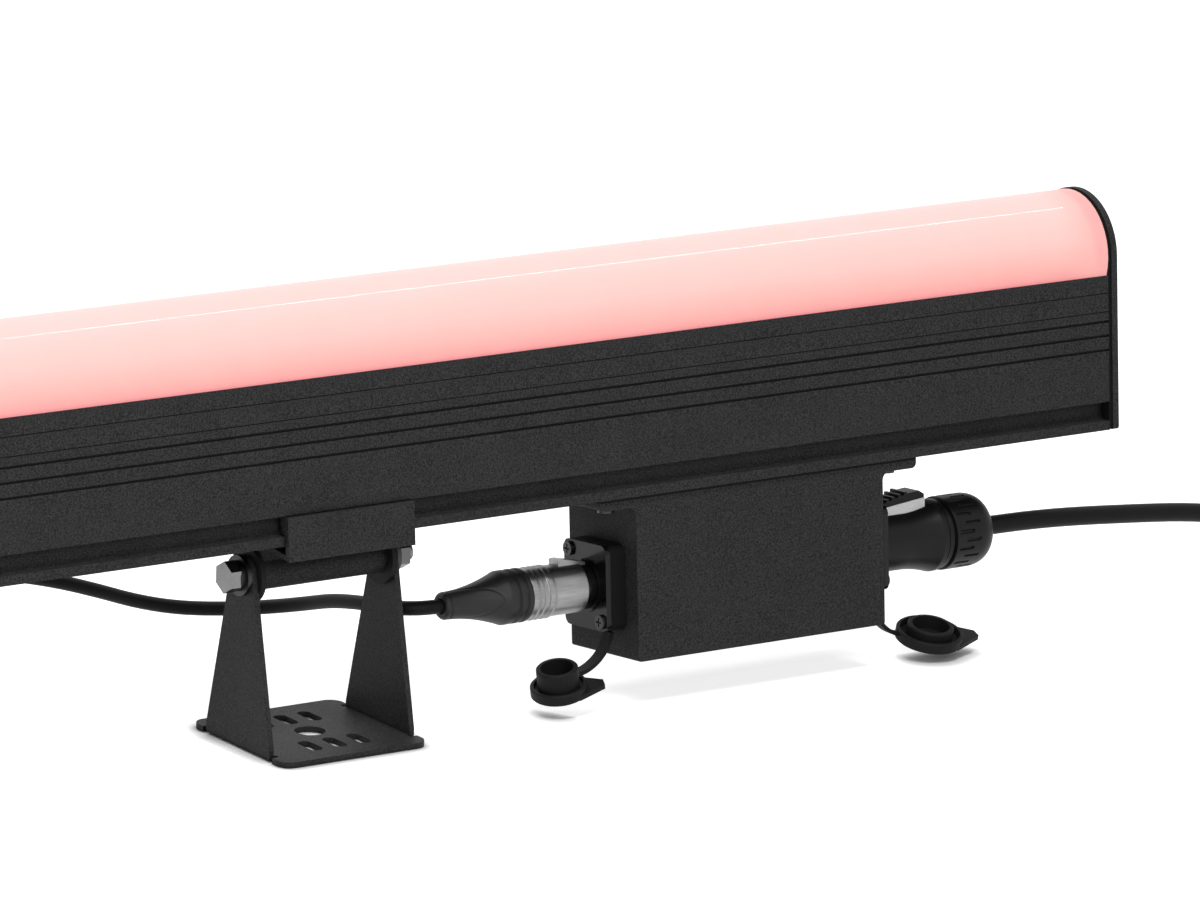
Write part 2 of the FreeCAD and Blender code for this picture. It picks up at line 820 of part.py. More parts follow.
def make_cap_end(side, sign):
    """One end cap with its gasket; returns its four screws.  The sign is the way that it looks."""
    def depth(inwards):
        return "%s(lamp_length / 2 - (%s))" % (sign, inwards)

    cap = new_body("end_cap_" + side)
    pad(cap, outline(sketch_on(cap, "YZ_Plane", out=depth("cap_thickness / 2")),
                     cap_outline("cap_radius")), "cap_thickness")
    holes = sketch_on(cap, "YZ_Plane", out=depth("cap_thickness / 2"))
    recesses = sketch_on(cap, "YZ_Plane", out=depth("cap_screw_depth / 2"))
    for across, up in port_places():
        circle(holes, across, up, "cap_screw_radius + 4 * screw_clearance")
        circle(recesses, across, up, "cap_screw_head + 2 * screw_clearance")
    pocket(cap, holes, "cap_thickness")
    pocket(cap, recesses, "cap_screw_depth")
    lean(cap)
    gasket = new_body("end_gasket_" + side)
    middle = depth("cap_thickness + cap_gasket_thickness / 2")
    pad(gasket, outline(sketch_on(gasket, "YZ_Plane", out=middle),
                        cap_outline("(%s - cap_gasket_inset)" % HALF)), "cap_gasket_thickness")
    gasket_holes = sketch_on(gasket, "YZ_Plane", out=middle)
    for across, up in port_places():
        circle(gasket_holes, across, up, "cap_screw_radius + 4 * screw_clearance")
    pocket(gasket, gasket_holes, "cap_gasket_thickness")
    lean(gasket)
    return [screw("cap_screw_" + side, sign + "X", depth("cap_screw_depth"), across, up,
                  "cap_screw_head", "cap_screw_depth", "cap_screw_radius", "cap_screw_length")
            for across, up in port_places()]


# ---------------------------------------------------------------- connector box

def make_box():
    body = new_body("connector_box")
    half = "box_length / 2"
    tab = "(box_length / 2 + tab_length)"
    side_view = sketch_on(body, "XZ_Plane", across=BOX_MIDDLE)
    outline(side_view, both_sides([
        (half + " - box_edge", BOX_BOTTOM, "box_edge"),
        (half, BOX_BOTTOM + " + box_edge"),
        (half, TAB_UNDER + " - box_fillet", "box_fillet", INWARD),
        (half + " + box_fillet", TAB_UNDER),
        (tab + " - tab_corner", TAB_UNDER, "tab_corner"),
        (tab, TAB_UNDER + " + tab_corner"),
        (tab, BOX_TOP),
    ]))
    pad(body, side_view, "box_width")
    hollow_low = "(%s + box_wall)" % BOX_BOTTOM
    hollow = sketch_on(body, "XY_Plane", across=BOX_MIDDLE, out="(%s + %s) / 2" % (hollow_low, BOX_TOP))
    rectangle(hollow, "-box_length / 2 + box_wall", "box_length / 2 - box_wall",
              "-box_width / 2 + box_wall", "box_width / 2 - box_wall")
    pocket(body, hollow, "%s - %s" % (BOX_TOP, hollow_low))
    tab_holes = sketch_on(body, "XY_Plane", out="(%s + %s) / 2" % (TAB_UNDER, BOX_TOP))
    for along, across in box_screw_places():
        circle(tab_holes, along, across, "box_screw_radius + screw_clearance")
    pocket(body, tab_holes, "tab_thickness")
    for wall_middle in ("box_start + box_wall / 2", BOX_END + " - box_wall / 2"):
        openings = sketch_on(body, "YZ_Plane", up=AXIS, out=wall_middle)
        circle(openings, "0", "0", "barrel_radius + seat_clearance")
        for across, up in flange_screw_places():
            circle(openings, across, up, "flange_screw_radius + screw_clearance")
        pocket(body, openings, "box_wall")
    lean(body)
    gasket = new_body("box_gasket")
    middle = "(%s + %s) / 2" % (BOX_TOP, BOTTOM)
    sheet_outline = sketch_on(gasket, "XY_Plane", across=BOX_MIDDLE, out=middle)
    rectangle(sheet_outline, "-" + tab, tab, "-box_width / 2", "box_width / 2")
    pad(gasket, sheet_outline, "box_gasket_thickness")
    gasket_holes = sketch_on(gasket, "XY_Plane", out=middle)
    circle(gasket_holes, BOX_MIDDLE, "0", "wire_hole_radius")
    for along, across in box_screw_places():
        circle(gasket_holes, along, across, "box_screw_radius + screw_clearance")
    pocket(gasket, gasket_holes, "box_gasket_thickness")
    lean(gasket)
    length = "tab_thickness + box_gasket_thickness + housing_wall + box_screw_grip"
    lean(group("box_screws", [screw("box_screw", "-Z", along, across, TAB_UNDER, "box_screw_head",
                                    "box_screw_head_height", "box_screw_radius", length)
                              for along, across in box_screw_places()]))


# ---------------------------------------------------------------- panel sockets

def flange_screw_places():
    """The two screws of a panel flange, one high at the back and one low at the front."""
    return (("flange_screw_across", "flange_screw_up"), ("-flange_screw_across", "-flange_screw_up"))


def ring_places(count, radius):
    """Evenly spaced places on a circle round the connector axis, across and up."""
    for index in range(count):
        angle = 90 + WHOLE_TURN * index / count
        yield "%s * cos(%g)" % (radius, angle), "%s * sin(%g)" % (radius, angle)


def rounded_rectangle(sketch, half_width, half_height, corner):
    inner_width = "%s - %s" % (half_width, corner)
    inner_height = "%s - %s" % (half_height, corner)
    return outline(sketch, both_sides([
        (inner_width, "-" + half_height, corner),
        (half_width, "-(%s)" % inner_height),
        (half_width, inner_height, corner),
        (inner_width, half_height),
    ]))


class Socket:
    """One panel socket: depths count from its flange's face towards the inside of the box."""

    def __init__(self, name, face, sign):
        self.name = name
        self.face = face
        self.sign = sign

    def place(self, depth):
        return "(%s) %s (%s)" % (self.face, self.sign, depth)

    def sketch(self, body, start, stop):
        return sketch_on(body, "YZ_Plane", up=AXIS, out=self.place("((%s) + (%s)) / 2" % (start, stop)))

    def disc(self, kind, body, start, stop, radius):
        sketch = circle(self.sketch(body, start, stop), "0", "0", radius)
        return through_feature(kind, body, sketch, "(%s) - (%s)" % (stop, start))

    def holes(self, body, start, stop, places, radius):
        sketch = self.sketch(body, start, stop)
        for across, up in places:
            circle(sketch, across, up, radius)
        return pocket(body, sketch, "(%s) - (%s)" % (stop, start))

    def make(self, bore_radius, pin_name, pins, pin_size):
        screw_hole = "flange_screw_radius + screw_clearance"
        back = "(flange_thickness + barrel_length)"
        floor = "(flange_thickness + barrel_length - barrel_back)"
        body = new_body(self.name + "_socket_shell")
        flange = self.sketch(body, "0", "flange_thickness")
        rounded_rectangle(flange, "flange_width / 2", "flange_height / 2", "flange_corner")
        pad(body, flange, "flange_thickness")
        self.disc("Pad", body, "-collar_proud", "flange_thickness / 2", "collar_radius")
        self.disc("Pad", body, "flange_thickness / 2", back, "barrel_radius")
        self.disc("Pocket", body, "-collar_proud", floor, bore_radius)
        self.holes(body, "0", "flange_thickness", flange_screw_places(), screw_hole)
        self.holes(body, floor, back, pins, pin_size)
        lean(body)
        seal = new_body(self.name + "_socket_seal")
        seal_end = "(flange_thickness + block_thickness)"
        seal_sketch = self.sketch(seal, "flange_thickness", seal_end)
        rounded_rectangle(seal_sketch, "flange_width / 2", "flange_height / 2", "flange_corner")
        pad(seal, seal_sketch, "block_thickness")
        self.disc("Pocket", seal, "flange_thickness", seal_end, "barrel_radius + seat_clearance")
        self.holes(seal, "flange_thickness", seal_end, flange_screw_places(), screw_hole)
        lean(seal)
        rods = []
        inward = self.sign + "X"
        start = self.place("flange_thickness + block_thickness / 2")
        length = "barrel_length - block_thickness / 2 + pin_tail"
        for across, up in pins:
            rods.append(rod(pin_name, inward, start, across, "%s + %s" % (AXIS, up), pin_size, length))
        lean(group(self.name + "_socket_" + pin_name, rods))
        outward = {"+": "-X", "-": "+X"}[self.sign]
        length = "flange_thickness + block_thickness + box_wall + flange_screw_grip"
        lean(group(self.name + "_socket_screws", [
            screw(self.name + "_screw", outward, self.face, across, "%s + %s" % (AXIS, up),
                  "flange_screw_head", "flange_screw_head_height", "flange_screw_radius", length)
            for across, up in flange_screw_places()]))


# ---------------------------------------------------------------- data plugs

BOOT_END = "data_boot_length"
SHELL_END = "(data_boot_length + data_shell_length)"
NOSE_END = "(data_boot_length + data_shell_length + data_shell_gap + data_nose_length)"
LATCH_END = "(data_boot_length + data_shell_length + data_latch_overhang)"
LATCH_START = "(%s - data_latch_length)" % LATCH_END
LATCH_FLOOR = "(data_core_radius - latch_travel + latch_shoe_gap)"


def grooved(stop, radius, side, name):
    """The start of an outline, from a round face back along it, with two grooves round it.  The
    name's sizes say how far the grooves lie from a second face, to the side given of it."""
    face, direction = side
    points = [(stop, radius)]
    places = ["%s %s (%s_groove_start + %d * %s_groove_pitch)" % (face, direction, name, index, name)
              for index in (0, 1)]
    if direction == "+":
        places.reverse()
    floor = "%s - %s_groove_depth" % (radius, name)
    for place in places:
        low = "%s - %s_groove_width / 2" % (place, name)
        high = "%s + %s_groove_width / 2" % (place, name)
        points += [(high, radius), (high, floor), (low, floor), (low, radius)]
    return points


def make_boot(label, up):
    """A tapered rubber boot; the cable enters a bore at its thin end."""
    bore = "data_cable_radius + seat_clearance"
    wide = "data_shell_rear"
    return turned_body(label, [
        ("data_boot_bore", "0"),
        (BOOT_END, "0"),
        (BOOT_END, wide + " - boot_edge"),
    ] + grooved(BOOT_END + " - 2 * boot_edge", wide, (BOOT_END, "-"), "boot") + [
        (BOOT_END + " - boot_collar_length", wide + " + boot_bulge", "boot_curve"),
        ("boot_tip_length", "data_boot_tip"),
        ("0", "data_boot_tip - boot_tip_edge"),
        ("0", bore),
        ("data_boot_bore", bore),
    ], up)


def make_shell(label, up, front_points):
    """A metal shell with two grooves round its wide end."""
    stop = "%s - data_step - shell_step_edge" % SHELL_END
    return turned_body(label, [(BOOT_END, "data_core_radius")] + front_points + grooved(
        stop, "data_shell_rear", (BOOT_END, "+"), "shell") + [
        (BOOT_END + " + shell_edge", "data_shell_rear"),
        (BOOT_END, "data_shell_rear - shell_edge"),
    ], up)


def latch_slot(body, up):
    """The slot along the top of a data plug that its latch moves in."""
    middle = "(%s + %s) / 2" % (LATCH_START, LATCH_END)
    sketch = sketch_on(body, "YZ_Plane", up=up, out=middle)
    half = "latch_width / 2 + latch_clearance"
    rectangle(sketch, "-(%s)" % half, half, LATCH_FLOOR, "data_shell_rear + latch_crest_rise")
    pocket(body, sketch, "%s - %s + 2 * latch_clearance" % (LATCH_END, LATCH_START))


def make_plugged_data_plug():
    """The plug in the panel socket, lying along -X from it, with its cable end at zero."""
    step = "%s - data_step" % SHELL_END
    boot = make_boot("data_plug_boot", AXIS)
    shell = make_shell("data_plug_shell", AXIS, [
        (SHELL_END, "data_core_radius"),
        (SHELL_END, "data_shell_front"),
        (step, "data_shell_front"),
    ])
    latch_slot(shell, AXIS)
    insert = turned_body("data_plug_insert", [
        (BOOT_END + " + insert_start", "0"),
        (NOSE_END, "0"),
        (NOSE_END, "data_nose_radius"),
        (SHELL_END, "data_nose_radius"),
        (SHELL_END, "data_core_radius"),
        (BOOT_END + " + insert_start", "data_core_radius"),
    ])
    holes = sketch_on(insert, "YZ_Plane", up=AXIS, out="%s - data_nose_length / 2" % NOSE_END)
    for across, up in ring_places(PIN_COUNT, "pin_circle"):
        circle(holes, across, up, "pin_radius + turning_clearance")
    pocket(insert, holes, "data_nose_length")
    latch_slot(insert, AXIS)
    latch = new_body("data_plug_latch")
    side_view = sketch_on(latch, "XZ_Plane", up=AXIS)
    low = "(%s + latch_travel + latch_clearance)" % LATCH_FLOOR
    outline(side_view, [
        (LATCH_START, low),
        (LATCH_END, low),
        (LATCH_END, low + " + latch_toe"),
        (LATCH_START + " + latch_crest", "data_shell_rear + latch_crest_rise"),
        (LATCH_START, "data_shell_rear + latch_back_rise"),
    ])
    pad(latch, side_view, "latch_width")
    for body in (boot, shell, insert, latch):
        lean(body)
        bind(body, Placement__Base__x="%s - data_boot_length" % SHELL_BACK)


def make_far_data_plug():
    """The plug at the other end of the data lead, lying on the floor beside the coil."""
    front = "(%s + data_nose_length)" % SHELL_END
    bodies = [
        make_boot("far_plug_boot", "0"),
        make_shell("far_plug_shell", "0", [
            (SHELL_END, "data_core_radius"),
            (SHELL_END, "data_nose_radius"),
            (front, "data_nose_radius"),
            (front, "data_shell_rear"),
        ]),
        turned_body("far_plug_insert", [
            (BOOT_END + " + insert_start", "0"),
            (SHELL_END, "0"),
            (SHELL_END, "data_core_radius"),
            (BOOT_END + " + insert_start", "data_core_radius"),
        ], "0"),
    ]
    rods = [rod("far_pin", "+X", SHELL_END, across, up, "pin_radius", "data_nose_length - 3")
            for across, up in ring_places(PIN_COUNT, "pin_circle")]
    bodies.append(group("far_plug_pins", rods))
    row = "%g - %s" % (DATA_COIL.y, coil_reach("data_coil_radius", "data_cable_radius"))
    for body in bodies:
        body.Placement = FreeCAD.Placement(Vector(), FreeCAD.Rotation(Vector(0, 0, 1), 180))
        move(body, "%g - far_plug_reach" % DATA_COIL.x, row, "data_shell_rear")


# ---------------------------------------------------------------- power plug

LATCH_NEAR = "(%s + power_latch_start)" % POWER_FACE
LATCH_FAR = "(%s + power_latch_start + power_latch_length)" % POWER_FACE
NUT_END = "(%s + nut_length)" % NUT_START


def make_power_plug():
    nose_tip = "(%s - power_nose_length)" % POWER_FACE
    recess = "(%s + power_nose_hollow)" % nose_tip
    hollow = "contact_circle + contact_radius + power_nose_wall"
    shoulder = "(%s + power_gap)" % POWER_FACE
    body = turned_body("power_plug_body", [
        (recess, "0"),
        (NUT_START, "0"),
        (NUT_START, "power_flare - power_edge"),
        (NUT_START + " - power_edge", "power_flare"),
        (NUT_START + " - power_flare_lip", "power_flare", "power_flare_curve", INWARD),
        (shoulder + " + power_waist_length", "power_waist"),
        (shoulder, "power_waist"),
        (shoulder, "power_nose_radius"),
        (nose_tip, "power_nose_radius"),
        (nose_tip, hollow),
        (recess, hollow),
    ])
    bed = sketch_on(body, "YZ_Plane", up=AXIS, out="(%s + %s) / 2" % (shoulder, NUT_START))
    bed_half = "power_latch_width / 2 + 2 * latch_clearance"
    rectangle(bed, "-(%s)" % bed_half, bed_half, "power_bed", "power_flare + %s" % OVERREACH)
    pocket(body, bed, "%s - %s" % (NUT_START, shoulder))
    lean(body)
    slider = new_body("power_plug_latch")
    slider_low, slider_high = "(power_bed + power_latch_low)", "(power_bed + power_latch_high)"
    slider_side = sketch_on(slider, "XZ_Plane", up=AXIS)
    outline(slider_side, [
        (LATCH_NEAR, "power_bed + seat_clearance"),
        (LATCH_FAR, "power_bed + seat_clearance"),
        (LATCH_FAR, slider_high),
        (LATCH_NEAR, slider_low),
    ])
    pad(slider, slider_side, "power_latch_width")
    lean(slider)
    make_latch_grip(slider_low, slider_high)
    make_power_nut()


def make_latch_grip(low, high):
    """The dark ribbed thumb grip that lies on the latch's sloping top."""
    grip = new_body("power_latch_grip")
    slope = sketch_on(grip, "XZ_Plane", up=AXIS)
    crest = "%s - grip_crest_length" % LATCH_FAR
    outline(slope, [
        (LATCH_NEAR, low),
        (LATCH_FAR, high),
        (LATCH_FAR, high + " + grip_edge"),
        (LATCH_FAR + " - grip_crest", high + " + grip_top"),
        (crest, high + " + grip_crest"),
        (LATCH_NEAR, low + " + grip_low"),
    ])
    width = "power_latch_width - 2 * grip_inset"
    pad(grip, slope, width)
    ribs = sketch_on(grip, "XZ_Plane", up=AXIS)
    for index in range(GRIP_RIB_COUNT):
        share = (index + 0.7) / GRIP_RIB_COUNT
        along = "(%s + %g * (%s - %s))" % (LATCH_NEAR, share, crest, LATCH_NEAR)
        rise = "%g * (%s + grip_crest - %s - grip_low)" % (share, high, low)
        up = "(%s + grip_low - grip_rib_root + %s)" % (low, rise)
        rectangle(ribs, along + " - grip_rib_width / 2", along + " + grip_rib_width / 2",
                  up, up + " + grip_rib_height")
    pad(grip, ribs, width)
    lean(grip)


def make_power_nut():
    bore = "power_cable_radius + turning_clearance"
    nut = turned_body("power_plug_nut", [
        (NUT_START, bore),
        (NUT_END, bore),
        (NUT_END, "power_cable_radius + nut_mouth"),
        (NUT_END + " - nut_crown", "power_cable_radius + nut_crown_width", "nut_curve"),
        (NUT_START + " + nut_straight", "nut_radius"),
        (NUT_START + " + nut_edge", "nut_radius"),
        (NUT_START, "nut_radius - nut_edge"),
    ])
    rib = sketch_on(nut, "YZ_Plane", up=AXIS, out=NUT_START + " + nut_rib_place")
    rectangle(rib, "-nut_rib_width / 2", "nut_rib_width / 2", "nut_radius - nut_rib", "nut_radius + nut_rib")
    around(nut, pad(nut, rib, "nut_rib_length"), rib, NUT_RIB_COUNT, "N_Axis")
    lean(nut)


# ---------------------------------------------------------------- brackets

def slot_outline(sketch, x, y):
    """A round-ended slot that runs along the sketch's second direction."""
    radius = "slot_width / 2"
    straight = "(slot_length - slot_width) / 2"
    right, left = "%s + %s" % (x, radius), "%s - %s" % (x, radius)
    low, high = "%s - %s" % (y, straight), "%s + %s" % (y, straight)
    outline(sketch, [
        (right, low),
        (right, high, radius),
        (x, high + " + " + radius, radius),
        (left, high),
        (left, low, radius),
        (x, low + " - " + radius, radius),
    ])


def make_yoke(side, place):
    """A folded sheet bracket: a slotted foot between two ears that taper up to the pivot."""
    body = new_body("yoke_" + side)
    wide, deep = "bracket_width / 2", "bracket_depth / 2"
    notch_end = "ear_half_width + notch_width"
    foot = sketch_on(body, "XY_Plane", across=place, out="sheet_thickness / 2")
    outline(foot, both_sides([
        (wide + " - foot_corner", "-" + deep, "foot_corner"),
        (wide, "-%s + foot_corner" % deep),
        (wide, "-(%s)" % notch_end),
        (wide + " - notch_depth", "-(%s)" % notch_end),
        (wide + " - notch_depth", "-ear_half_width"),
        (wide, "-ear_half_width"),
        (wide, "ear_half_width"),
        (wide + " - notch_depth", "ear_half_width"),
        (wide + " - notch_depth", notch_end),
        (wide, notch_end),
        (wide, "%s - foot_corner" % deep, "foot_corner"),
        (wide + " - foot_corner", deep),
    ]))
    pad(body, foot, "sheet_thickness")
    for direction in ("+", "-"):
        ear = sketch_on(body, "YZ_Plane", out="%s %s (%s - sheet_thickness / 2)" % (place, direction, wide))
        outline(ear, both_sides([
            ("ear_half_width", "0 * ear_half_width"),
            ("ear_half_width", "ear_straight"),
            ("ear_top_radius * cos(ear_slope)", "pivot_height + ear_top_radius * sin(ear_slope)",
             "ear_top_radius"),
            ("0.6 * ear_top_radius", "pivot_height + 0.8 * ear_top_radius", "ear_top_radius"),
        ]))
        pad(body, ear, "sheet_thickness")
    pivot = sketch_on(body, "YZ_Plane", out=place)
    circle(pivot, "0", "pivot_height", "bolt_radius + pivot_clearance")
    pocket(body, pivot, "bracket_width")
    holes = sketch_on(body, "XY_Plane", across=place, out="sheet_thickness / 2")
    circle(holes, "0", "0", "centre_hole_radius")
    for row in ("slot_row", "-slot_row"):
        for column in ("-slot_pitch", "0 * slot_pitch", "slot_pitch"):
            slot_outline(holes, column, row)
    pocket(body, holes, "sheet_thickness")
    centre = value(place)
    reach = value(wide)
    round_edges(body, "fold_radius", [Vector(centre - reach, 0, 0), Vector(centre + reach, 0, 0)])


def make_clamp(side, place):
    """The clamp that slides along the housing's side slots and carries the pivot barrel."""
    body = new_body("slider_clamp_" + side)
    inside = "(%s + clamp_fit)" % HALF
    outside = "(%s + clamp_fit + clamp_plate)" % HALF
    foot = "(pivot_drop - clamp_foot)"
    crown = "(%s + arch_radius - sqrt(arch_radius ^ 2 - %s ^ 2))" % (foot, outside)
    neck_top = "(%s - arch_radius + sqrt(arch_radius ^ 2 - neck_half_width ^ 2))" % crown
    end = "((bracket_width - 2 * (sheet_thickness + spacer_thickness + turning_clearance)))"
    section = sketch_on(body, "YZ_Plane", out=place)
    outline(section, both_sides([
        ("0.8 * barrel_tube_radius", "-0.6 * barrel_tube_radius", "barrel_tube_radius"),
        ("neck_half_width", "sqrt(barrel_tube_radius ^ 2 - neck_half_width ^ 2)"),
        ("neck_half_width", neck_top, "arch_radius", INWARD),
        (outside, foot),
        (outside, "pivot_drop + clamp_rise"),
        (inside + " - hook_reach", "pivot_drop + clamp_rise"),
        (inside + " - hook_reach", "pivot_drop + hook_start"),
        (inside, "pivot_drop + hook_start"),
        (inside, foot + " + arch_thickness", "arch_radius"),
    ], closing=("barrel_tube_radius",)))
    pad(body, section, end)
    bore = sketch_on(body, "YZ_Plane", out=place)
    circle(bore, "0", "0", "bolt_radius + pivot_clearance")
    pocket(body, bore, end)
    threads = sketch_on(body, "XY_Plane", across=place, out="pivot_drop - clamp_foot / 2")
    for across in ("set_screw_spread", "-set_screw_spread"):
        circle(threads, "0", across, "set_screw_radius + screw_clearance")
    pocket(body, threads, "clamp_foot + 1")
    lean(body)
    lean(group("set_screws_" + side, [
        rod("set_screw", "+Z", place, across, foot, "set_screw_radius", "clamp_foot - seat_clearance")
        for across in ("set_screw_spread", "-set_screw_spread")]))
    spacer_places = (("-X", "-"), ("+X", "+"))
    lean(group("spacer_washers_" + side, [
        washer("spacer", direction, "%s %s %s / 2" % (place, sign, end), "0", "0", "spacer_radius",
               "bolt_radius + pivot_clearance", "spacer_thickness")
        for direction, sign in spacer_places]))


def make_pivot(side, place):
    """The bolt that the yoke turns on, with its nut and the washers outside the ears."""
    near = "(%s - bracket_width / 2)" % place
    far = "(%s + bracket_width / 2)" % place
    bore = "bolt_radius + screw_clearance"
    head_end = "(%s - outer_washer_thickness - spring_washer_thickness)" % near
    nut_start = "(%s + outer_washer_thickness)" % far
    bolt_end = "(%s + nut_height + thread_end)" % nut_start
    head = hexagon("bolt_head", "-X", head_end, "0", "pivot_height", "hex_across", "bolt_head_height")
    shank = rod("bolt_shank", "+X", head_end, "0", "pivot_height", "bolt_radius",
                "%s - %s" % (bolt_end, head_end))
    node(fuse("pivot_bolt_" + side, head, shank), "pivot_bolt_" + side)
    nut = hexagon("nut_blank", "+X", nut_start, "0", "pivot_height", "hex_across", "nut_height")
    thread = rod("nut_thread", "+X", nut_start, "0", "pivot_height", bore, "nut_height")
    node(cut("pivot_nut_" + side, nut, thread), "pivot_nut_" + side)
    washers = [
        washer("outer_washer", "-X", near, "0", "pivot_height", "outer_washer_radius", bore,
               "outer_washer_thickness"),
        washer("spring_washer", "+X", head_end, "0", "pivot_height", "spring_washer_radius", bore,
               "spring_washer_thickness"),
        washer("outer_washer", "+X", far, "0", "pivot_height", "outer_washer_radius", bore,
               "outer_washer_thickness"),
    ]
    group("pivot_washers_" + side, washers)


# ---------------------------------------------------------------- rubber caps

def make_rubber_cap(name, place, turns, pull_turn, strap):
    """An unplugged socket's cap, lying open side up: a dish with a cup standing in it and a
    pull tab, hung on a strap."""
    disc, disc_height = name + "_disc_radius", name + "_disc_height"
    cup, top = name + "_cup_radius", "(%s_disc_height + %s_cup_height)" % (name, name)
    groove, rim = name + "_groove_floor", "(%s - rim_wall)" % disc
    body = document.addObject("PartDesign::Body", name + "_cap_moulding")
    profile = sketch_on(body, "XZ_Plane")
    outline(profile, [
        ("0", "0"),
        (disc + " - rubber_edge", "0"),
        (disc, "rubber_edge"),
        (disc, disc_height + " - rubber_edge"),
        (disc + " - rubber_edge", disc_height),
        (rim, disc_height),
        (rim, groove),
        (cup, groove),
        (cup, top + " - rubber_edge"),
        (cup + " - rubber_edge", top),
        (cup + " - cup_wall", top),
        (cup + " - cup_wall", "cup_floor"),
        ("0", "cup_floor"),
    ])
    turn(body, profile, "V_Axis")
    pull = sketch_on(body, "XY_Plane", out="pull_thickness / 2")
    pull_end = "(%s + %s_pull)" % (disc, name)
    outline(pull, [
        ("0.6 * " + rim, "-0.8 * " + rim),
        ("0.6 * " + disc, "-0.8 * " + disc),
        (pull_end, "-pull_width / 2"),
        (pull_end, "pull_width / 2"),
        ("0.6 * " + disc, "0.8 * " + disc),
        ("0.6 * " + rim, "0.8 * " + rim, rim, INWARD),
        (rim, "0", rim, INWARD),
    ])
    pad(body, pull, "pull_thickness")
    turning = FreeCAD.Rotation()
    for axis, angle in turns:
        turning = turning.multiply(FreeCAD.Rotation(axis, angle))
    turning = turning.multiply(FreeCAD.Rotation(Vector(0, 0, 1), pull_turn))
    body.Placement = FreeCAD.Placement(Vector(), turning)
    move(body, *place)
    band = document.addObject("PartDesign::Body", name + "_cap_band")
    side_view = sketch_on(band, "XZ_Plane", out="-strap_place")
    outline(side_view, strap)
    pad(band, side_view, "strap_width")
    node(fuse(name + "_cap", body, band), name + "_cap")


def make_caps():
    thick = "strap_thickness"
    socket_foot = "(pivot_height - (connector_drop + flange_height / 2) * cos(tilt_angle))"
    top = "(%s + strap_clearance)" % socket_foot
    root = "(box_start - block_thickness / 2)"
    middle = "(box_start - data_cap_reach)"
    end = "(%s + data_disc_radius - strap_overlap)" % middle
    end_low = "(%s - data_strap_drop)" % top
    place = (middle, "cap_row", top + " - data_cap_drop")
    make_rubber_cap("data", place, DATA_CAP_TURNS, DATA_PULL_TURN, [
        (end, end_low, "strap_bend + strap_thickness"),
        (root, top),
        ("%s - %s" % (root, thick), top, "strap_bend", INWARD),
        (end, "%s + %s" % (end_low, thick)),
    ])
    root = "(%s + block_thickness / 2)" % BOX_END
    middle = "(%s + power_cap_reach)" % BOX_END
    end = "(%s - power_disc_radius + strap_overlap)" % middle
    end_low = "(%s - power_strap_drop)" % top
    place = (middle, "cap_row", top + " - power_cap_drop")
    make_rubber_cap("power", place, POWER_CAP_TURNS, POWER_PULL_TURN, [
        (end, "%s + %s" % (end_low, thick), "strap_bend", INWARD),
        ("%s + %s" % (root, thick), top),
        (root, top, "strap_bend + strap_thickness"),
        (end, end_low),
    ])


# ---------------------------------------------------------------- leads

ARC_SHARE = 0.45


def tube_along(points, radius, bend=None):
    """A round bar along straight runs that tangent arcs join; without a set bend each arc is
    as large as its two runs allow."""
    edges = []
    here = points[0]
    for before, corner, after in zip(points, points[1:], points[2:]):
        arriving = (corner - before).normalize()
        leaving = (after - corner).normalize()
        turning = arriving.getAngle(leaving)
        reach = ARC_SHARE * min(before.distanceToPoint(corner), corner.distanceToPoint(after))
        if bend:
            reach = bend * math.tan(turning / 2)
        arc_radius = reach / math.tan(turning / 2)
        inwards = (leaving - arriving).normalize()
        crown = corner + inwards * (arc_radius / math.cos(turning / 2) - arc_radius)
        start, stop = corner - arriving * reach, corner + leaving * reach
        edges.append(Part.LineSegment(here, start).toShape())
        edges.append(Part.Arc(start, crown, stop).toShape())
        print("bend radius %.1f at (%.0f, %.0f, %.0f)" % (arc_radius, *corner))
        here = stop
    edges.append(Part.LineSegment(here, points[-1]).toShape())
    path = Part.Wire(edges)
    section = Part.Wire(Part.Circle(points[0], points[1] - points[0], radius).toShape())
    tube = path.makePipeShell([section], True, False)
    expected = math.pi * radius ** 2 * path.Length
    print("tube length %.1f, volume off by %.4f" % (path.Length, tube.Volume / expected - 1))
    return tube


def make_cord(label, points, radius):
    feature = document.addObject("Part::Feature", label)
    feature.Shape = tube_along(points, value(radius))
    node(feature, label)


def coil_reach(radius, cable_radius):
    """From a coil's centre to the middle of its outermost turn, three turns wide."""
    return "(%s + 3 * %s + coil_slack / 2)" % (radius, cable_radius)


def make_coil(label, centre, radius, cable_radius):
    """The outer shape of a flat round coil on the floor, three turns wide and two high."""
    outer = "%s + %s + coil_slack / 2" % (coil_reach(radius, cable_radius), cable_radius)
    inner = "2 * %s - (%s)" % (radius, outer)
    height = "4 * %s + coil_slack" % cable_radius
    x, y = "%g" % centre.x, "%g" % centre.y
    ring = cut(label, rod(label + "_outside", "+Z", x, y, "0 * coil_slack", outer, height),
               rod(label + "_inside", "+Z", x, y, "0 * coil_slack", inner, height))
    node(ring, label)


def on_axis(x):
    """A point of the leaned connector axis, in the world frame."""
    angle = math.radians(value("tilt_angle"))
    drop = value(AXIS)
    return Vector(x, drop * math.sin(angle), value("pivot_height") + drop * math.cos(angle))


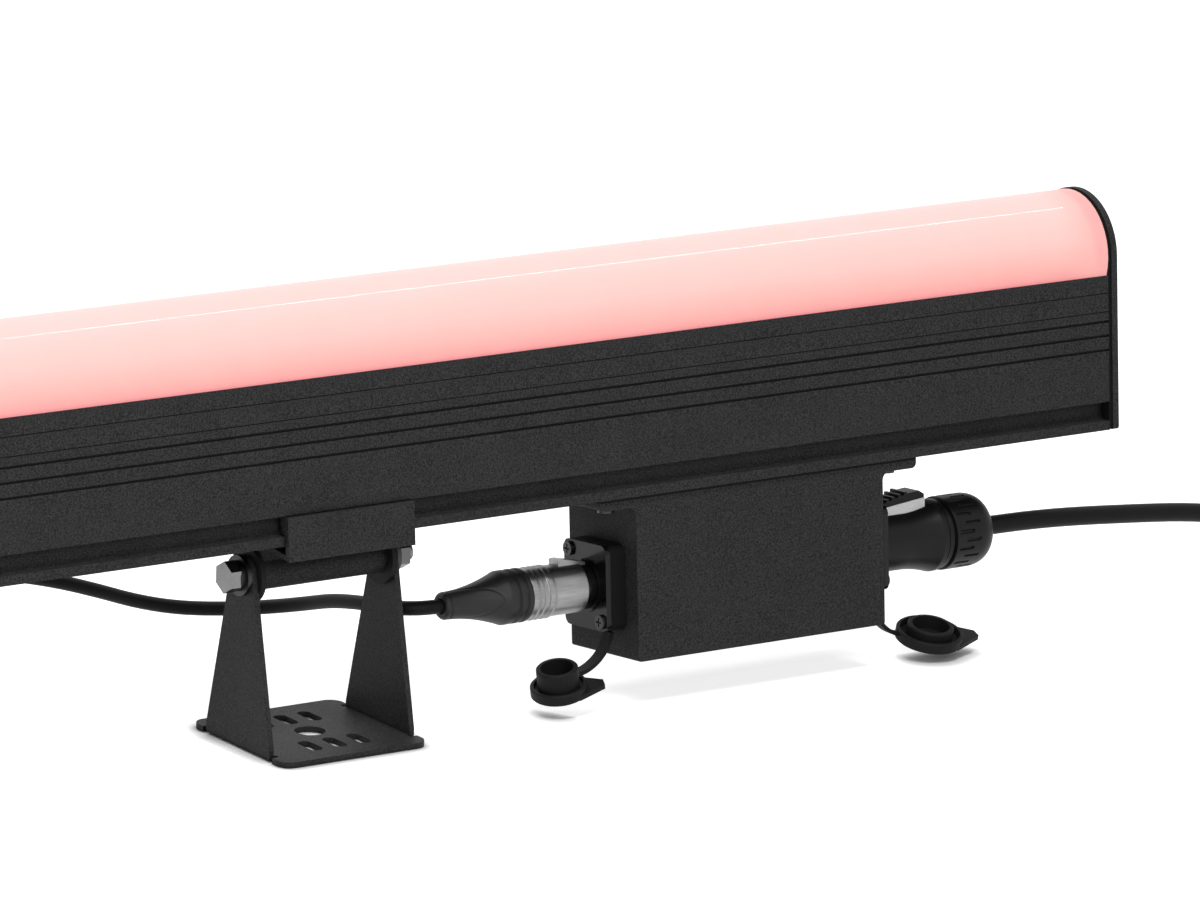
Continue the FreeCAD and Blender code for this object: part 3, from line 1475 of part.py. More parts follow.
def make_data_lead():
    tip = value("%s - data_boot_length" % SHELL_BACK)
    radius = value("data_cable_radius")
    reach = value(coil_reach("data_coil_radius", "data_cable_radius"))
    landing = Vector(DATA_COIL.x + 4, DATA_COIL.y - reach, radius)
    make_cord("data_cable", [
        on_axis(tip + value("data_boot_bore")),
        on_axis(tip - value("data_exit")),
        Vector(204.6, 1.5, 40.6),
        Vector(199.9, 9.5, 40.0),
        Vector(198.8, 22, 38.6),
        Vector(198.4, 40, 35),
        Vector(198.2, 56, 30),
        Vector(193.2, 71.5, 25.6),
        Vector(181.2, 82, 23.8),
        Vector(164, 86.6, 25.2),
        Vector(146, 86.4, 30),
        Vector(128, 83, 37),
        Vector(108, 80.5, 44),
        Vector(84, 80, 50),
        Vector(54, 82, 52),
        Vector(26, 85, 44),
        Vector(4, 88, 29),
        Vector(-14, 90.5, 14),
        Vector(-32, 91.2, 5.2),
        Vector(-50, landing.y, 2.9),
        landing,
    ], "data_cable_radius")
    make_coil("data_cable_coil", DATA_COIL, "data_coil_radius", "data_cable_radius")


def make_power_lead():
    end = value(NUT_END)
    radius = value("power_cable_radius")
    reach = value(coil_reach("power_coil_radius", "power_cable_radius"))
    landing = Vector(POWER_COIL.x - 6, POWER_COIL.y - reach, radius)
    make_cord("power_cable", [
        on_axis(end - value("power_entry")),
        on_axis(end + value("power_exit")),
        Vector(490, -2.1, 40),
        Vector(518, -2.2, 37.8),
        Vector(552, -2.2, 34.6),
        Vector(580, -1.4, 29),
        Vector(604, 0.4, 20),
        Vector(626, 2.6, 10.6),
        Vector(648, 4, 4.9),
        Vector(668, landing.y, 3.7),
        landing,
    ], "power_cable_radius")
    make_coil("power_cable_coil", POWER_COIL, "power_coil_radius", "power_cable_radius")


def make_mains_plug():
    """The round mains plug at the far end of the power lead, lying on the floor."""
    body_end = "(mains_boot_length + mains_body_length)"
    plug = turned_body("mains_plug_body", [
        ("0", "0"),
        (body_end, "0"),
        (body_end, "mains_radius - mains_edge"),
        (body_end + " - mains_edge", "mains_radius"),
        ("mains_boot_length + mains_shoulder", "mains_radius", "mains_shoulder_curve"),
        ("mains_boot_length - mains_boot_end", "mains_boot_tip + mains_boot_flare"),
        ("0", "mains_boot_tip"),
    ], "0")
    pins = group("mains_plug_pins", [
        rod("mains_pin", "+X", body_end, side + "mains_pin_spread", "0", "mains_pin_radius",
            "mains_pin_length") for side in ("", "-")])
    row = "%g - %s" % (POWER_COIL.y, coil_reach("power_coil_radius", "power_cable_radius"))
    for thing in (plug, pins):
        move(thing, "%g + mains_plug_reach" % POWER_COIL.x, row, "mains_radius")


# ---------------------------------------------------------------- the whole lamp

def check_and_export():
    """Refuses a failed or empty piece, and a cut that removes nothing, then writes the files."""
    document.recompute()
    for thing in document.Objects:
        if "Invalid" in thing.State or "Error" in thing.State:
            raise ValueError("failed: " + thing.Name)
        if thing.TypeId == "PartDesign::Pocket" and thing.BaseFeature:
            if thing.Shape.Volume > thing.BaseFeature.Shape.Volume - 0.01:
                raise ValueError("cuts nothing: " + thing.Name)
    os.makedirs("parts", exist_ok=True)
    for label, thing in nodes.items():
        shape = thing.Shape
        if shape.isNull() or not shape.isValid() or shape.Volume <= 0:
            raise ValueError("bad shape: " + label)
        shape.exportStep("parts/%s.step" % label)
    print("%d pieces" % len(nodes))


make_housing()
make_diffuser()
make_light_boards()
make_electronics()
make_wires()
lean(group("end_cap_screws", make_cap_end("left", "-") + make_cap_end("right", "+")))
make_box()
data_pins = list(ring_places(PIN_COUNT, "pin_circle"))
power_contacts = list(ring_places(CONTACT_COUNT, "contact_circle"))
Socket("data", DATA_FACE, "+").make("data_nose_radius + plug_fit", "pins", data_pins, "pin_radius")
Socket("power", POWER_FACE, "-").make("power_nose_radius + turning_clearance", "contacts",
                                      power_contacts, "contact_radius")
make_plugged_data_plug()
make_far_data_plug()
make_power_plug()
for bracket_side, bracket_middle in (("left", "-bracket_place"), ("right", "bracket_place")):
    make_yoke(bracket_side, bracket_middle)
    make_clamp(bracket_side, bracket_middle)
    make_pivot(bracket_side, bracket_middle)
make_caps()
make_data_lead()
make_power_lead()
make_mains_plug()
check_and_export()
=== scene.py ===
"""The looks of the outdoor wall washer light: finishes, leads, moulded boots, and the white studio."""

import math

import bpy
from mathutils import Matrix, Vector


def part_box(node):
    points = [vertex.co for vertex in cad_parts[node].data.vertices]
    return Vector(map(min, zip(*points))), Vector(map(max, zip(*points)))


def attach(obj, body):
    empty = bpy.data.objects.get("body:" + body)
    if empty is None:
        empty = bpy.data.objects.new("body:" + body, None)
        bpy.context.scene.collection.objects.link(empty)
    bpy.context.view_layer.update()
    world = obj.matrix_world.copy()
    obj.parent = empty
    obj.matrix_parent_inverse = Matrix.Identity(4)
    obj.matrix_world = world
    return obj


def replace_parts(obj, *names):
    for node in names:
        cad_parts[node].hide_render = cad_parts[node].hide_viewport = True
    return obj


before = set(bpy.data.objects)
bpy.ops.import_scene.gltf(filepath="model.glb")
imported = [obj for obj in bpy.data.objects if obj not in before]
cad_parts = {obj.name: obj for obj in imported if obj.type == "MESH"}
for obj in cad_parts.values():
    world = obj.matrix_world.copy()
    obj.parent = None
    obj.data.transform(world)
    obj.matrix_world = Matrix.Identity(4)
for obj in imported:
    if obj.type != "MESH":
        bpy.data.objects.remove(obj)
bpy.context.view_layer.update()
scene = bpy.context.scene
MM = 0.001

# ---------------------------------------------------------------- camera

CAMERA_PLACE = (-1.45239, -2.47303, 0.86046)
CAMERA_AZIMUTH = math.radians(-35.070)
CAMERA_ELEVATION = math.radians(14.321)
CAMERA_ROLL = math.radians(-2.004)
CAMERA_LENS = 264.51
CAMERA_SENSOR = 36.0


def set_camera():
    """The photograph's long lens: low, in front and to the left of the lamp."""
    flat = math.cos(CAMERA_ELEVATION)
    side = Vector((math.cos(CAMERA_AZIMUTH), math.sin(CAMERA_AZIMUTH), 0))
    back = Vector((side.y * flat, -side.x * flat, math.sin(CAMERA_ELEVATION)))
    rise = back.cross(side)
    right = side * math.cos(CAMERA_ROLL) - rise * math.sin(CAMERA_ROLL)
    up = rise * math.cos(CAMERA_ROLL) + side * math.sin(CAMERA_ROLL)
    lens = bpy.data.cameras.new("camera")
    lens.lens = CAMERA_LENS
    lens.sensor_width = CAMERA_SENSOR
    lens.sensor_fit = "HORIZONTAL"
    lens.clip_end = 60
    camera = bpy.data.objects.new("camera", lens)
    turn = Matrix((right, up, back)).transposed().to_4x4()
    camera.matrix_world = Matrix.Translation(CAMERA_PLACE) @ turn
    scene.collection.objects.link(camera)
    scene.camera = camera


# ---------------------------------------------------------------- finishes


class Level:
    """One number that changes over a surface. Sums on it add their nodes."""

    def __init__(self, nodes, socket):
        self.nodes = nodes
        self.socket = socket

    def _sum(self, operation, first, second):
        node = self.nodes.node("ShaderNodeMath", {"operation": operation}, {0: first, 1: second})
        return Level(self.nodes, node.outputs[0])

    def __add__(self, other):
        return self._sum("ADD", self, other)

    def __sub__(self, other):
        return self._sum("SUBTRACT", self, other)

    def __mul__(self, other):
        return self._sum("MULTIPLY", self, other)

    def __truediv__(self, other):
        return self._sum("DIVIDE", self, other)

    def __pow__(self, other):
        return self._sum("POWER", self, other)

    def __abs__(self):
        return self._sum("ABSOLUTE", self, 0)

    def __rsub__(self, other):
        return self._sum("SUBTRACT", other, self)

    __radd__ = __add__
    __rmul__ = __mul__

    def top(self, other):
        return self._sum("MAXIMUM", self, other)

    def ramp(self, low, high):
        """0 below low, 1 above high, and smooth between them."""
        settings = {"interpolation_type": "SMOOTHSTEP"}
        inputs = {"Value": self, "From Min": low, "From Max": high}
        node = self.nodes.node("ShaderNodeMapRange", settings, inputs)
        return Level(self.nodes, node.outputs["Result"])


class Nodes:
    """A node tree that is written as sums."""

    def __init__(self, tree):
        self.tree = tree

    def feed(self, socket, value):
        if isinstance(value, Level):
            value = value.socket
        if isinstance(value, bpy.types.NodeSocket):
            self.tree.links.new(value, socket)
        elif socket.type == "RGBA" and len(value) == 3:
            socket.default_value = (*value, 1)
        else:
            socket.default_value = value

    def node(self, kind, settings=None, inputs=None):
        node = self.tree.nodes.new(kind)
        settings = dict(settings or {})
        stops = settings.pop("stops", None)
        for name, value in settings.items():
            setattr(node, name, value)
        if stops:
            ramp = node.color_ramp.elements
            while len(ramp) < len(stops):
                ramp.new(0.5)
            for element, (place, colour) in zip(ramp, stops):
                element.position = place
                element.color = (*colour, 1)
        for name, value in (inputs or {}).items():
            self.feed(node.inputs[name], value)
        return node

    def mix(self, first, second, share):
        """A colour from first to second as share goes from 0 to 1."""
        node = self.node("ShaderNodeMix", {"data_type": "RGBA"}, {0: share, 6: first, 7: second})
        return node.outputs[2]

    def place(self):
        """The point on the piece at rest, in metres."""
        return self.node("ShaderNodeTexCoord").outputs["Object"]

    def along(self, axis):
        """One coordinate of the point at rest."""
        parts = self.node("ShaderNodeSeparateXYZ", None, {0: self.place()})
        return Level(self, parts.outputs[axis])

    def noise(self, scale, detail=2.0, stretch=(1, 1, 1)):
        """Noise with cells of about 1 / scale metres, drawn out by stretch."""
        drawn = {"Vector": self.place(), "Scale": stretch}
        spread = self.node("ShaderNodeMapping", {"vector_type": "TEXTURE"}, drawn).outputs[0]
        node = self.node("ShaderNodeTexNoise", None, {"Vector": spread, "Scale": scale, "Detail": detail})
        return Level(self, node.outputs[0])

    def open_air(self, reach):
        """How open the surface is within reach metres: low in a groove or a slot, and 1 in the open. The
        finishes darken with it to paint shade into grooves, slots and creases.
        """
        node = self.node("ShaderNodeAmbientOcclusion", {"samples": 8}, {"Distance": reach})
        return Level(self, node.outputs["AO"])


def grey(level):
    return (level, level, level)


class Finish(Nodes):
    """A finish for the surface of a piece."""

    def __init__(self, name, roughness=0.5, metallic=0.0, gloss=0.5):
        self.material = bpy.data.materials.new(name)
        self.material.use_nodes = True
        super().__init__(self.material.node_tree)
        self.shader = self.tree.nodes["Principled BSDF"]
        self.set("Roughness", roughness)
        self.set("Metallic", metallic)
        self.set("Specular IOR Level", gloss)

    def set(self, socket, value):
        self.feed(self.shader.inputs[socket], value)

    def bump(self, height, depth, strength=1.0):
        """Raises the surface by height times depth, which is in metres."""
        node = self.node("ShaderNodeBump", None, {"Strength": strength, "Distance": depth, "Height": height})
        self.set("Normal", node.outputs[0])

    def tint(self, dark, light, share):
        self.set("Base Color", self.mix(dark, light, share))


def powder_coat(name, dark, light, roughness=0.6, gloss=0.1):
    """Fine-grained powder coat: dark and light grains, a low orange peel, and painted shade that darkens it
    in grooves and creases.
    """
    coat = Finish(name, roughness, 0.0, gloss)
    grain = coat.noise(1700, 1.0)
    speck = coat.noise(3600, 1.0)
    cloud = coat.noise(60, 3.0)
    share = (grain * 0.5 + speck * 0.5 - 0.5) * 4.6 + (cloud - 0.5) * 0.4 + 0.5
    grains = coat.mix(dark, light, share)
    # Painted shade: the coat goes near black where open_air is low, in grooves, slots and creases.
    coat.set("Base Color", coat.mix(grey(0.004), grains, coat.open_air(0.0035).ramp(0.30, 0.85)))
    coat.bump(grain * 0.7 + speck * 0.3, 0.0001, 0.55)
    return coat.material


DOME_FOOT = 0.1312
DOME_TALL = 0.0296
LEAN = 0.0963


def frosted_dome():
    """The lit, frosted dome: palest along its crown, deeper where it meets the housing and at its ends."""
    dome = Finish("frosted_dome", 0.42, 0.0, 0.03)
    rise = dome.along(2) - DOME_FOOT + dome.along(1) * LEAN
    height = rise / DOME_TALL
    stops = [
        (0.00, (0.72, 0.165, 0.200)),
        (0.10, (0.74, 0.240, 0.235)),
        (0.24, (0.76, 0.320, 0.295)),
        (0.52, (0.80, 0.430, 0.405)),
        (0.85, (0.82, 0.495, 0.475)),
    ]
    glow = dome.node("ShaderNodeValToRGB", {"stops": stops}, {0: height}).outputs[0]
    # The dome's glow is deeper in colour toward its ends, and deeper again at its tips.
    end = abs(dome.along(0)).ramp(0.476, 0.495)
    tip = abs(dome.along(0)).ramp(0.4885, 0.4925)
    glow_deeper_at_ends = dome.mix(glow, (0.74, 0.31, 0.29), end * 0.75)
    dome.set("Emission Color", dome.mix(glow_deeper_at_ends, (0.70, 0.24, 0.25), tip * 0.6))
    dome.set("Emission Strength", 1.0)
    dome.tint((0.30, 0.215, 0.195), (0.34, 0.250, 0.225), dome.noise(90, 2.0))
    dome.set("Coat Weight", 0.22)
    dome.set("Coat Roughness", 0.035)
    return dome.material


def rubber(name, dark, light, roughness=0.62, gloss=0.25):
    """Moulded rubber: a dull skin with a faint bloom."""
    skin = Finish(name, roughness, 0.0, gloss)
    bloom = skin.noise(140, 3.0)
    fine = skin.noise(2600, 1.0)
    skin.tint(dark, light, bloom * 0.7 + fine * 0.3)
    skin.bump(fine, 0.00004, 0.4)
    return skin.material


def moulded(name, dark, light, roughness, gloss=0.35, coat=0.0):
    """Injection-moulded plastic with a faint flow pattern."""
    skin = Finish(name, roughness, 0.0, gloss)
    flow = skin.noise(70, 3.0)
    fine = skin.noise(1900, 1.0)
    skin.tint(dark, light, flow)
    skin.bump(fine * 0.6 + flow * 0.4, 0.00003, 0.3)
    skin.set("Coat Weight", coat)
    skin.set("Coat Roughness", 0.08)
    return skin.material


def metal(name, dark, light, roughness, drawn=(1, 1, 1)):
    """Plated or turned metal, with lines along the way that it was drawn."""
    skin = Finish(name, roughness, 1.0, 0.5)
    lines = skin.noise(2200, 2.0, drawn)
    cloud = skin.noise(120, 2.0)
    skin.tint(dark, light, lines * 0.6 + cloud * 0.4)
    skin.set("Roughness", lines * 0.18 + (roughness - 0.09))
    skin.bump(lines, 0.00003, 0.4)
    return skin.material


def circuit_board(name, dark, light, trace):
    """A printed board: solder mask with paler copper runs under it."""
    board = Finish(name, 0.38, 0.0, 0.5)
    runs = board.noise(260, 0.0, (6, 1, 1)).ramp(0.52, 0.56)
    mask = board.mix(dark, light, board.noise(120, 2.0))
    board.set("Base Color", board.mix(mask, trace, runs * 0.5))
    return board.material


def wires():
    """Stranded leads in their coloured skins."""
    skin = Finish("wire_skin", 0.45, 0.0, 0.4)
    band = skin.along(1).ramp(-0.001, 0.001)
    skin.set("Base Color", skin.mix((0.42, 0.03, 0.02), (0.02, 0.02, 0.022), band))
    skin.bump(skin.noise(900, 1.0), 0.00003, 0.3)
    return skin.material


def led_cells():
    """Phosphor cells in white lands."""
    cell = Finish("led_cell", 0.35, 0.0, 0.5)
    cell.tint((0.80, 0.62, 0.16), (0.88, 0.80, 0.55), cell.noise(500, 1.0))
    return cell.material


FINISHES = {
    "body_black": powder_coat("body_powder_coat", grey(0.009), grey(0.046)),
    "bracket_black": powder_coat("bracket_powder_coat", grey(0.009), grey(0.046), 0.55, 0.12),
    "diffuser": frosted_dome(),
    "rubber_black": rubber("cap_rubber", grey(0.007), grey(0.014), 0.6, 0.12),
    "boot_rubber": rubber("boot_rubber", grey(0.013), grey(0.024), 0.45, 0.25),
    "gasket_grey": rubber("gasket_rubber", grey(0.005), grey(0.010), 0.7, 0.08),
    "board": circuit_board("led_board", grey(0.62), grey(0.72), (0.80, 0.76, 0.62)),
    "board_green": circuit_board(
        "driver_board", (0.01, 0.10, 0.04), (0.015, 0.14, 0.055), (0.10, 0.26, 0.10)
    ),
    "led": led_cells(),
    "supply_case": metal("supply_case", grey(0.42), grey(0.55), 0.42, (20, 1, 1)),
    "chip": moulded("chip_resin", grey(0.012), grey(0.022), 0.45),
    "wire": wires(),
    "screw_black": metal("blackened_screw", grey(0.03), grey(0.07), 0.38),
    "screw_steel": metal("plated_screw", grey(0.36), grey(0.55), 0.32),
    "plastic_black": moulded("plug_plastic", grey(0.006), grey(0.011), 0.38, 0.15),
    "plastic_gloss": moulded("socket_plastic", grey(0.003), grey(0.007), 0.2, 0.16, 0.12),
    "shell_silver": metal("satin_shell", grey(0.14), grey(0.42), 0.34, (18, 1, 1)),
    "latch_silver": metal("latch_metal", grey(0.28), grey(0.48), 0.34, (8, 1, 1)),
    "nut_steel": metal("nut_steel", grey(0.05), grey(0.17), 0.32),
    "contact": metal("contact_brass", (0.62, 0.44, 0.16), (0.80, 0.60, 0.28), 0.25),
    "bolt_steel": metal("bolt_steel", grey(0.10), grey(0.28), 0.30),
    "cable_black": rubber("cable_skin", grey(0.005), grey(0.009), 0.5, 0.1),
}

NODES_BY_SLOT = {
    "body_black": (
        "housing_profile end_cap_left end_cap_right connector_box "
        "slider_clamp_left slider_clamp_right"
    ),
    "bracket_black": "yoke_left yoke_right",
    "diffuser": "diffuser_dome",
    "rubber_black": "data_cap power_cap diffuser_seals wire_grommet data_plug_boot far_plug_boot",
    "gasket_grey": "end_gasket_left end_gasket_right box_gasket data_socket_seal power_socket_seal",
    "board": "led_boards",
    "board_green": "pixel_driver_board",
    "led": "leds",
    "supply_case": "power_supply",
    "chip": "driver_components",
    "wire": "wire_bundle",
    "nut_steel": "pivot_nut_left pivot_nut_right",
}


def paint_frame():
    """Every piece that is shown as it was made gets the finish of its slot."""
    named = {}
    for slot, names in NODES_BY_SLOT.items():
        for name in names.split():
            named[name] = slot
    for name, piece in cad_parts.items():
        given = piece.data.materials[0].name if len(piece.data.materials) else ""
        slot = named.get(name, given.split(".")[0])
        if slot not in FINISHES:
            raise SystemExit(f"no finish for {name}: {given}")
        piece.data.materials.clear()
        piece.data.materials.append(FINISHES[slot])


# ---------------------------------------------------------------- leads


def on_axis(x):
    """A point on the line of both sockets, in mm."""
    return (x, -2.04, 40.80)


COIL_STEPS = 24
COIL_CROSSING = 0.2


def ease(share):
    """0 to 1, with a gentle start and end."""
    return share * share * (3 - 2 * share)


def coil(centre, outermost, innermost, turns, layers, way, lift):
    """A flat coil two turns high, in mm: inward below, outward above. way 1 is counterclockwise.

    It starts and ends at the south point. lift adds to the height by how many turns are left."""
    half = turns / 2
    points = []
    for step in range(1, int(turns * COIL_STEPS) + 1):
        turn = step / COIL_STEPS
        inward = min(turn, turns - turn) / half
        radius = outermost + (innermost - outermost) * inward
        share = min(1, max(0, (turn - half + COIL_CROSSING / 2) / COIL_CROSSING))
        height = layers[0] + (layers[1] - layers[0]) * ease(share)
        angle = -math.pi / 2 + way * 2 * math.pi * turn
        x = centre[0] + radius * math.cos(angle)
        y = centre[1] + radius * math.sin(angle)
        points.append((x, y, height + lift(turns - turn)))
    return points


def no_lift(turns_left):
    return 0


def lead(name, points, radius, body):
    """A round cable along points, in mm."""
    curve = bpy.data.curves.new(name, "CURVE")
    curve.dimensions = "3D"
    curve.bevel_depth = radius * MM
    curve.bevel_resolution = 5
    curve.resolution_u = 5
    curve.use_fill_caps = True
    line = curve.splines.new("NURBS")
    line.points.add(len(points) - 1)
    for spot, place in zip(line.points, points):
        spot.co = (place[0] * MM, place[1] * MM, place[2] * MM, 1)
    line.order_u = 3
    line.use_endpoint_u = True
    curve.materials.append(FINISHES["cable_black"])
    piece = bpy.data.objects.new(name, curve)
    scene.collection.objects.link(piece)
    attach(piece, body)
    return piece


DATA_ROUTE = [
    on_axis(222.2), on_axis(213.2), (204.6, 1.5, 40.6), (199.9, 9.5, 40), (198.8, 22, 38.6),
    (198.4, 40, 35), (198.2, 56, 30), (193.2, 71.5, 25.6), (181.2, 82, 23.8), (164, 86.6, 25.2),
    (146, 86.4, 30), (128, 83, 37), (108, 80.5, 44), (84, 80, 50), (54, 82, 52), (26, 85, 44),
    (4, 88, 29), (-14, 90.5, 14), (-32, 91.2, 5.2), (-50, 91.05, 2.9), (-66, 91.05, 2.6),
]
DATA_RADIUS = 2.6
DATA_COIL = coil((-70, 130), 38.95, 23.05, 6, (2.65, 7.9), -1, no_lift)
DATA_END = [(-76, 91.05, 9.0), (-87, 91.05, 9.6)]

POWER_ROUTE = [
    on_axis(449.6), on_axis(467), (490, -2.1, 40), (518, -2.2, 37.8), (552, -2.2, 34.6), (580, -1.4, 29),
    (604, 0.4, 20), (626, 2.6, 10.6), (648, 4, 4.9), (668, 4.35, 3.7), (684, 4.35, 3.5),
]
POWER_RADIUS = 3.5
POWER_TURN = 2 * math.pi * 52.0
PLUG_PAST_COIL = 24
PLUG_CLIMB = 7.4
PLUG_CLIMB_RUN = 80


def power_lift(turns_left):
    """The last stretch climbs towards the plug that lies on the coil."""
    left = turns_left * POWER_TURN + PLUG_PAST_COIL
    return PLUG_CLIMB * ease(min(1, max(0, (PLUG_CLIMB_RUN - left) / PLUG_CLIMB_RUN)))


POWER_COIL = coil((690, 57), 52.65, 31.35, 6, (3.55, 10.6), 1, power_lift)
POWER_END = [(702, 4.35, 17.4), (716, 4.35, 18)]


# ---------------------------------------------------------------- turned and moulded pieces


def mesh_piece(name, vertices, faces, slot, body, finish=None, sharp=35):
    """A piece from points in mm."""
    mesh = bpy.data.meshes.new(name)
    mesh.from_pydata([(x * MM, y * MM, z * MM) for x, y, z in vertices], [], faces)
    mesh.validate()
    mesh.polygons.foreach_set("use_smooth", [True] * len(mesh.polygons))
    mesh.set_sharp_from_angle(angle=math.radians(sharp))
    mesh.materials.append(FINISHES[finish or slot])
    piece = bpy.data.objects.new(name, mesh)
    scene.collection.objects.link(piece)
    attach(piece, body)
    return piece


def turned(name, outline, tip, heading, slot, body, relief=None, around=112, finish=None):
    """The (along, radius) outline turned about a line along X from tip. relief adds to the radius."""
    vertices = []
    for along, radius in outline:
        for step in range(around):
            angle = 2 * math.pi * step / around
            reach = radius + (relief(along, angle) if relief else 0)
            out = (reach * math.cos(angle), reach * math.sin(angle))
            vertices.append((tip[0] + heading * along, tip[1] + out[0], tip[2] + out[1]))
    faces = []
    for ring in range(len(outline) - 1):
        for step in range(around):
            first = ring * around + step
            second = ring * around + (step + 1) % around
            quad = (first, second, second + around, first + around)
            faces.append(quad if heading < 0 else quad[::-1])
    start = tuple(range(around))
    last = tuple(range((len(outline) - 1) * around, len(outline) * around))
    faces.append(start if heading > 0 else start[::-1])
    faces.append(last[::-1] if heading > 0 else last)
    return mesh_piece(name, vertices, faces, slot, body, finish)


CLOSED = 0.5
BOOT_LENGTH = 33.8
BOOT_STEP = 0.28
BOOT_TIP = 4.15
BOOT_NECK = 4.95
BOOT_WIDE = 9.7
BOOT_END = 8.6
BOOT_LEAD_IN = 1.2
BOOT_GRIP = BOOT_LENGTH - 9.5
BOOT_FLARE = 1.9
BOOT_BORE = 2.68
BOOT_BORE_DEPTH = 6
GROOVES = (2.6, 5.9)
GROOVE_DEPTH = 0.8
GROOVE_HALF = 0.62
EDGE_DROP = 0.35
EDGE_RUN = 0.3
PANEL_SIDES = (math.pi * 0.93, -math.pi * 0.07)
PANEL_START = 2.2
PANEL_END = 21.5
PANEL_HALF = 6.4
PANEL_ROUND = 2.4
PANEL_RAISED = 0.32
SEAM_DEPTH = 0.38
SEAM_HALF = 0.42


def boot_radius(along):
    """The boot's outline: a short lead-in, a hollow flare, and a straight grip with two grooves."""
    if along < BOOT_LEAD_IN:
        return BOOT_TIP + (BOOT_NECK - BOOT_TIP) * math.sin(along / BOOT_LEAD_IN * math.pi / 2)
    if along <= BOOT_GRIP:
        share = (along - BOOT_LEAD_IN) / (BOOT_GRIP - BOOT_LEAD_IN)
        return BOOT_NECK + (BOOT_WIDE - BOOT_NECK) * share ** BOOT_FLARE
    from_end = BOOT_LENGTH - along
    radius = BOOT_WIDE
    for groove in GROOVES:
        radius -= GROOVE_DEPTH * math.exp(-((from_end - groove) / GROOVE_HALF) ** 4)
    return radius - EDGE_DROP * math.exp(-from_end / EDGE_RUN)


def boot_panel(along, angle):
    """Two raised panels, each with a round end towards the shell and a seam round it."""
    if along < PANEL_START or along > BOOT_GRIP:
        return 0
    turn = min(abs(math.remainder(angle - side, 2 * math.pi)) for side in PANEL_SIDES)
    off = turn * boot_radius(along)
    if along < PANEL_END:
        share = (along - PANEL_START) / (PANEL_END - PANEL_START)
        inside = PANEL_HALF * math.sqrt(1 - share ** PANEL_ROUND) - off
    else:
        inside = PANEL_END - along - off
    seam = -SEAM_DEPTH * math.exp(-(inside / SEAM_HALF) ** 2)
    raised = PANEL_RAISED / (1 + math.exp(-inside * 5)) if inside > -4 else 0
    return seam + raised


def boot(name, tip, heading, body):
    """A moulded strain relief with its bore at the tip."""
    bore = [(BOOT_BORE_DEPTH, CLOSED), (BOOT_BORE_DEPTH, BOOT_BORE), (0.25, BOOT_BORE), (0, 2.95)]
    outline = bore + [(0, 3.85)]
    count = int(BOOT_LENGTH / BOOT_STEP)
    for index in range(count + 1):
        along = BOOT_LENGTH * index / count
        outline.append((along, boot_radius(along)))
    outline += [(BOOT_LENGTH, BOOT_END), (BOOT_LENGTH, CLOSED)]
    return turned(name, outline, tip, heading, "rubber_black", body, boot_panel, finish="boot_rubber")


def round_size(node):
    """(first x, last x, radius) of a round CAD piece on the socket line, in mm."""
    low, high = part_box(node)
    return low[0] / MM, high[0] / MM, min(high[1] - low[1], high[2] - low[2]) / 2 / MM


SHELL_RIDGES = (2.7, 4.9, 7.1, 9.3)
SHELL_RIDGE_HALF = 0.3
SHELL_RIDGE_TALL = 0.45
SHELL_STEP = 0.16


def plug_shell():
    """The satin shell of the data plug: four fine ridges by the boot, then a plain barrel."""
    start, end, radius = round_size("data_plug_shell")
    length = end - start
    outline = [(0, CLOSED), (0, radius - 1.1), (0.25, radius - 0.5)]
    count = int(length / SHELL_STEP)
    for index in range(2, count - 1):
        along = length * index / count
        ridges = sum(math.exp(-((along - ridge) / SHELL_RIDGE_HALF) ** 4) for ridge in SHELL_RIDGES)
        outline.append((along, radius - SHELL_RIDGE_TALL + SHELL_RIDGE_TALL * min(1, ridges)))
    outline += [(length - 0.2, radius - 0.5), (length, radius - 0.8), (length, CLOSED)]
    return turned("data_shell", outline, on_axis(start), 1, "shell_silver", "lamp")


NUT_LENGTH = 22.2
NUT_STEPS = 64
NUT_COLLAR = 3.1
NUT_BORE = 3.75
NUT_SHOULDER = 13.4
NUT_MOUTH = 7.4
NUT_SLITS = 13
NUT_SLIT_ROWS = ((4.4, 10.6), (7.4, 13.6))
NUT_SLIT_DEPTH = 0.7
NUT_SLIT_HALF = 0.5


def cable_nut():
    """The power plug's nut: a collar, short slits in two staggered rows, and a blunt round end."""
    start, _, radius = round_size("power_plug_nut")
    outline = [(0, CLOSED), (0, radius - 1.4), (0.3, radius - 0.8), (2.0, radius - 0.7)]
    outline += [(2.2, radius - 1.5), (2.9, radius - 1.5), (NUT_COLLAR, radius - 0.1)]
    for index in range(1, NUT_STEPS):
        along = NUT_COLLAR + (NUT_LENGTH - NUT_COLLAR) * index / NUT_STEPS
        share = max(0, (along - NUT_SHOULDER) / (NUT_LENGTH - NUT_SHOULDER))
        outline.append((along, NUT_MOUTH + (radius - NUT_MOUTH) * (1 - share ** 2.4) ** 0.5))
    outline += [(NUT_LENGTH, NUT_MOUTH - 0.4), (NUT_LENGTH, NUT_BORE)]
    outline += [(NUT_LENGTH - 3, NUT_BORE - 0.1), (NUT_LENGTH - 3, CLOSED)]

    def slits(along, angle):
        pitch = 2 * math.pi / NUT_SLITS
        for row, (first, last) in enumerate(NUT_SLIT_ROWS):
            off = abs(math.remainder(angle - row * pitch / 2, pitch)) * radius
            if first < along < last and off < NUT_SLIT_HALF:
                return -NUT_SLIT_DEPTH
        return 0

    return turned("cable_nut", outline, on_axis(start), 1, "plastic_black", "power_plug", slits, 240)


# ---------------------------------------------------------------- studio


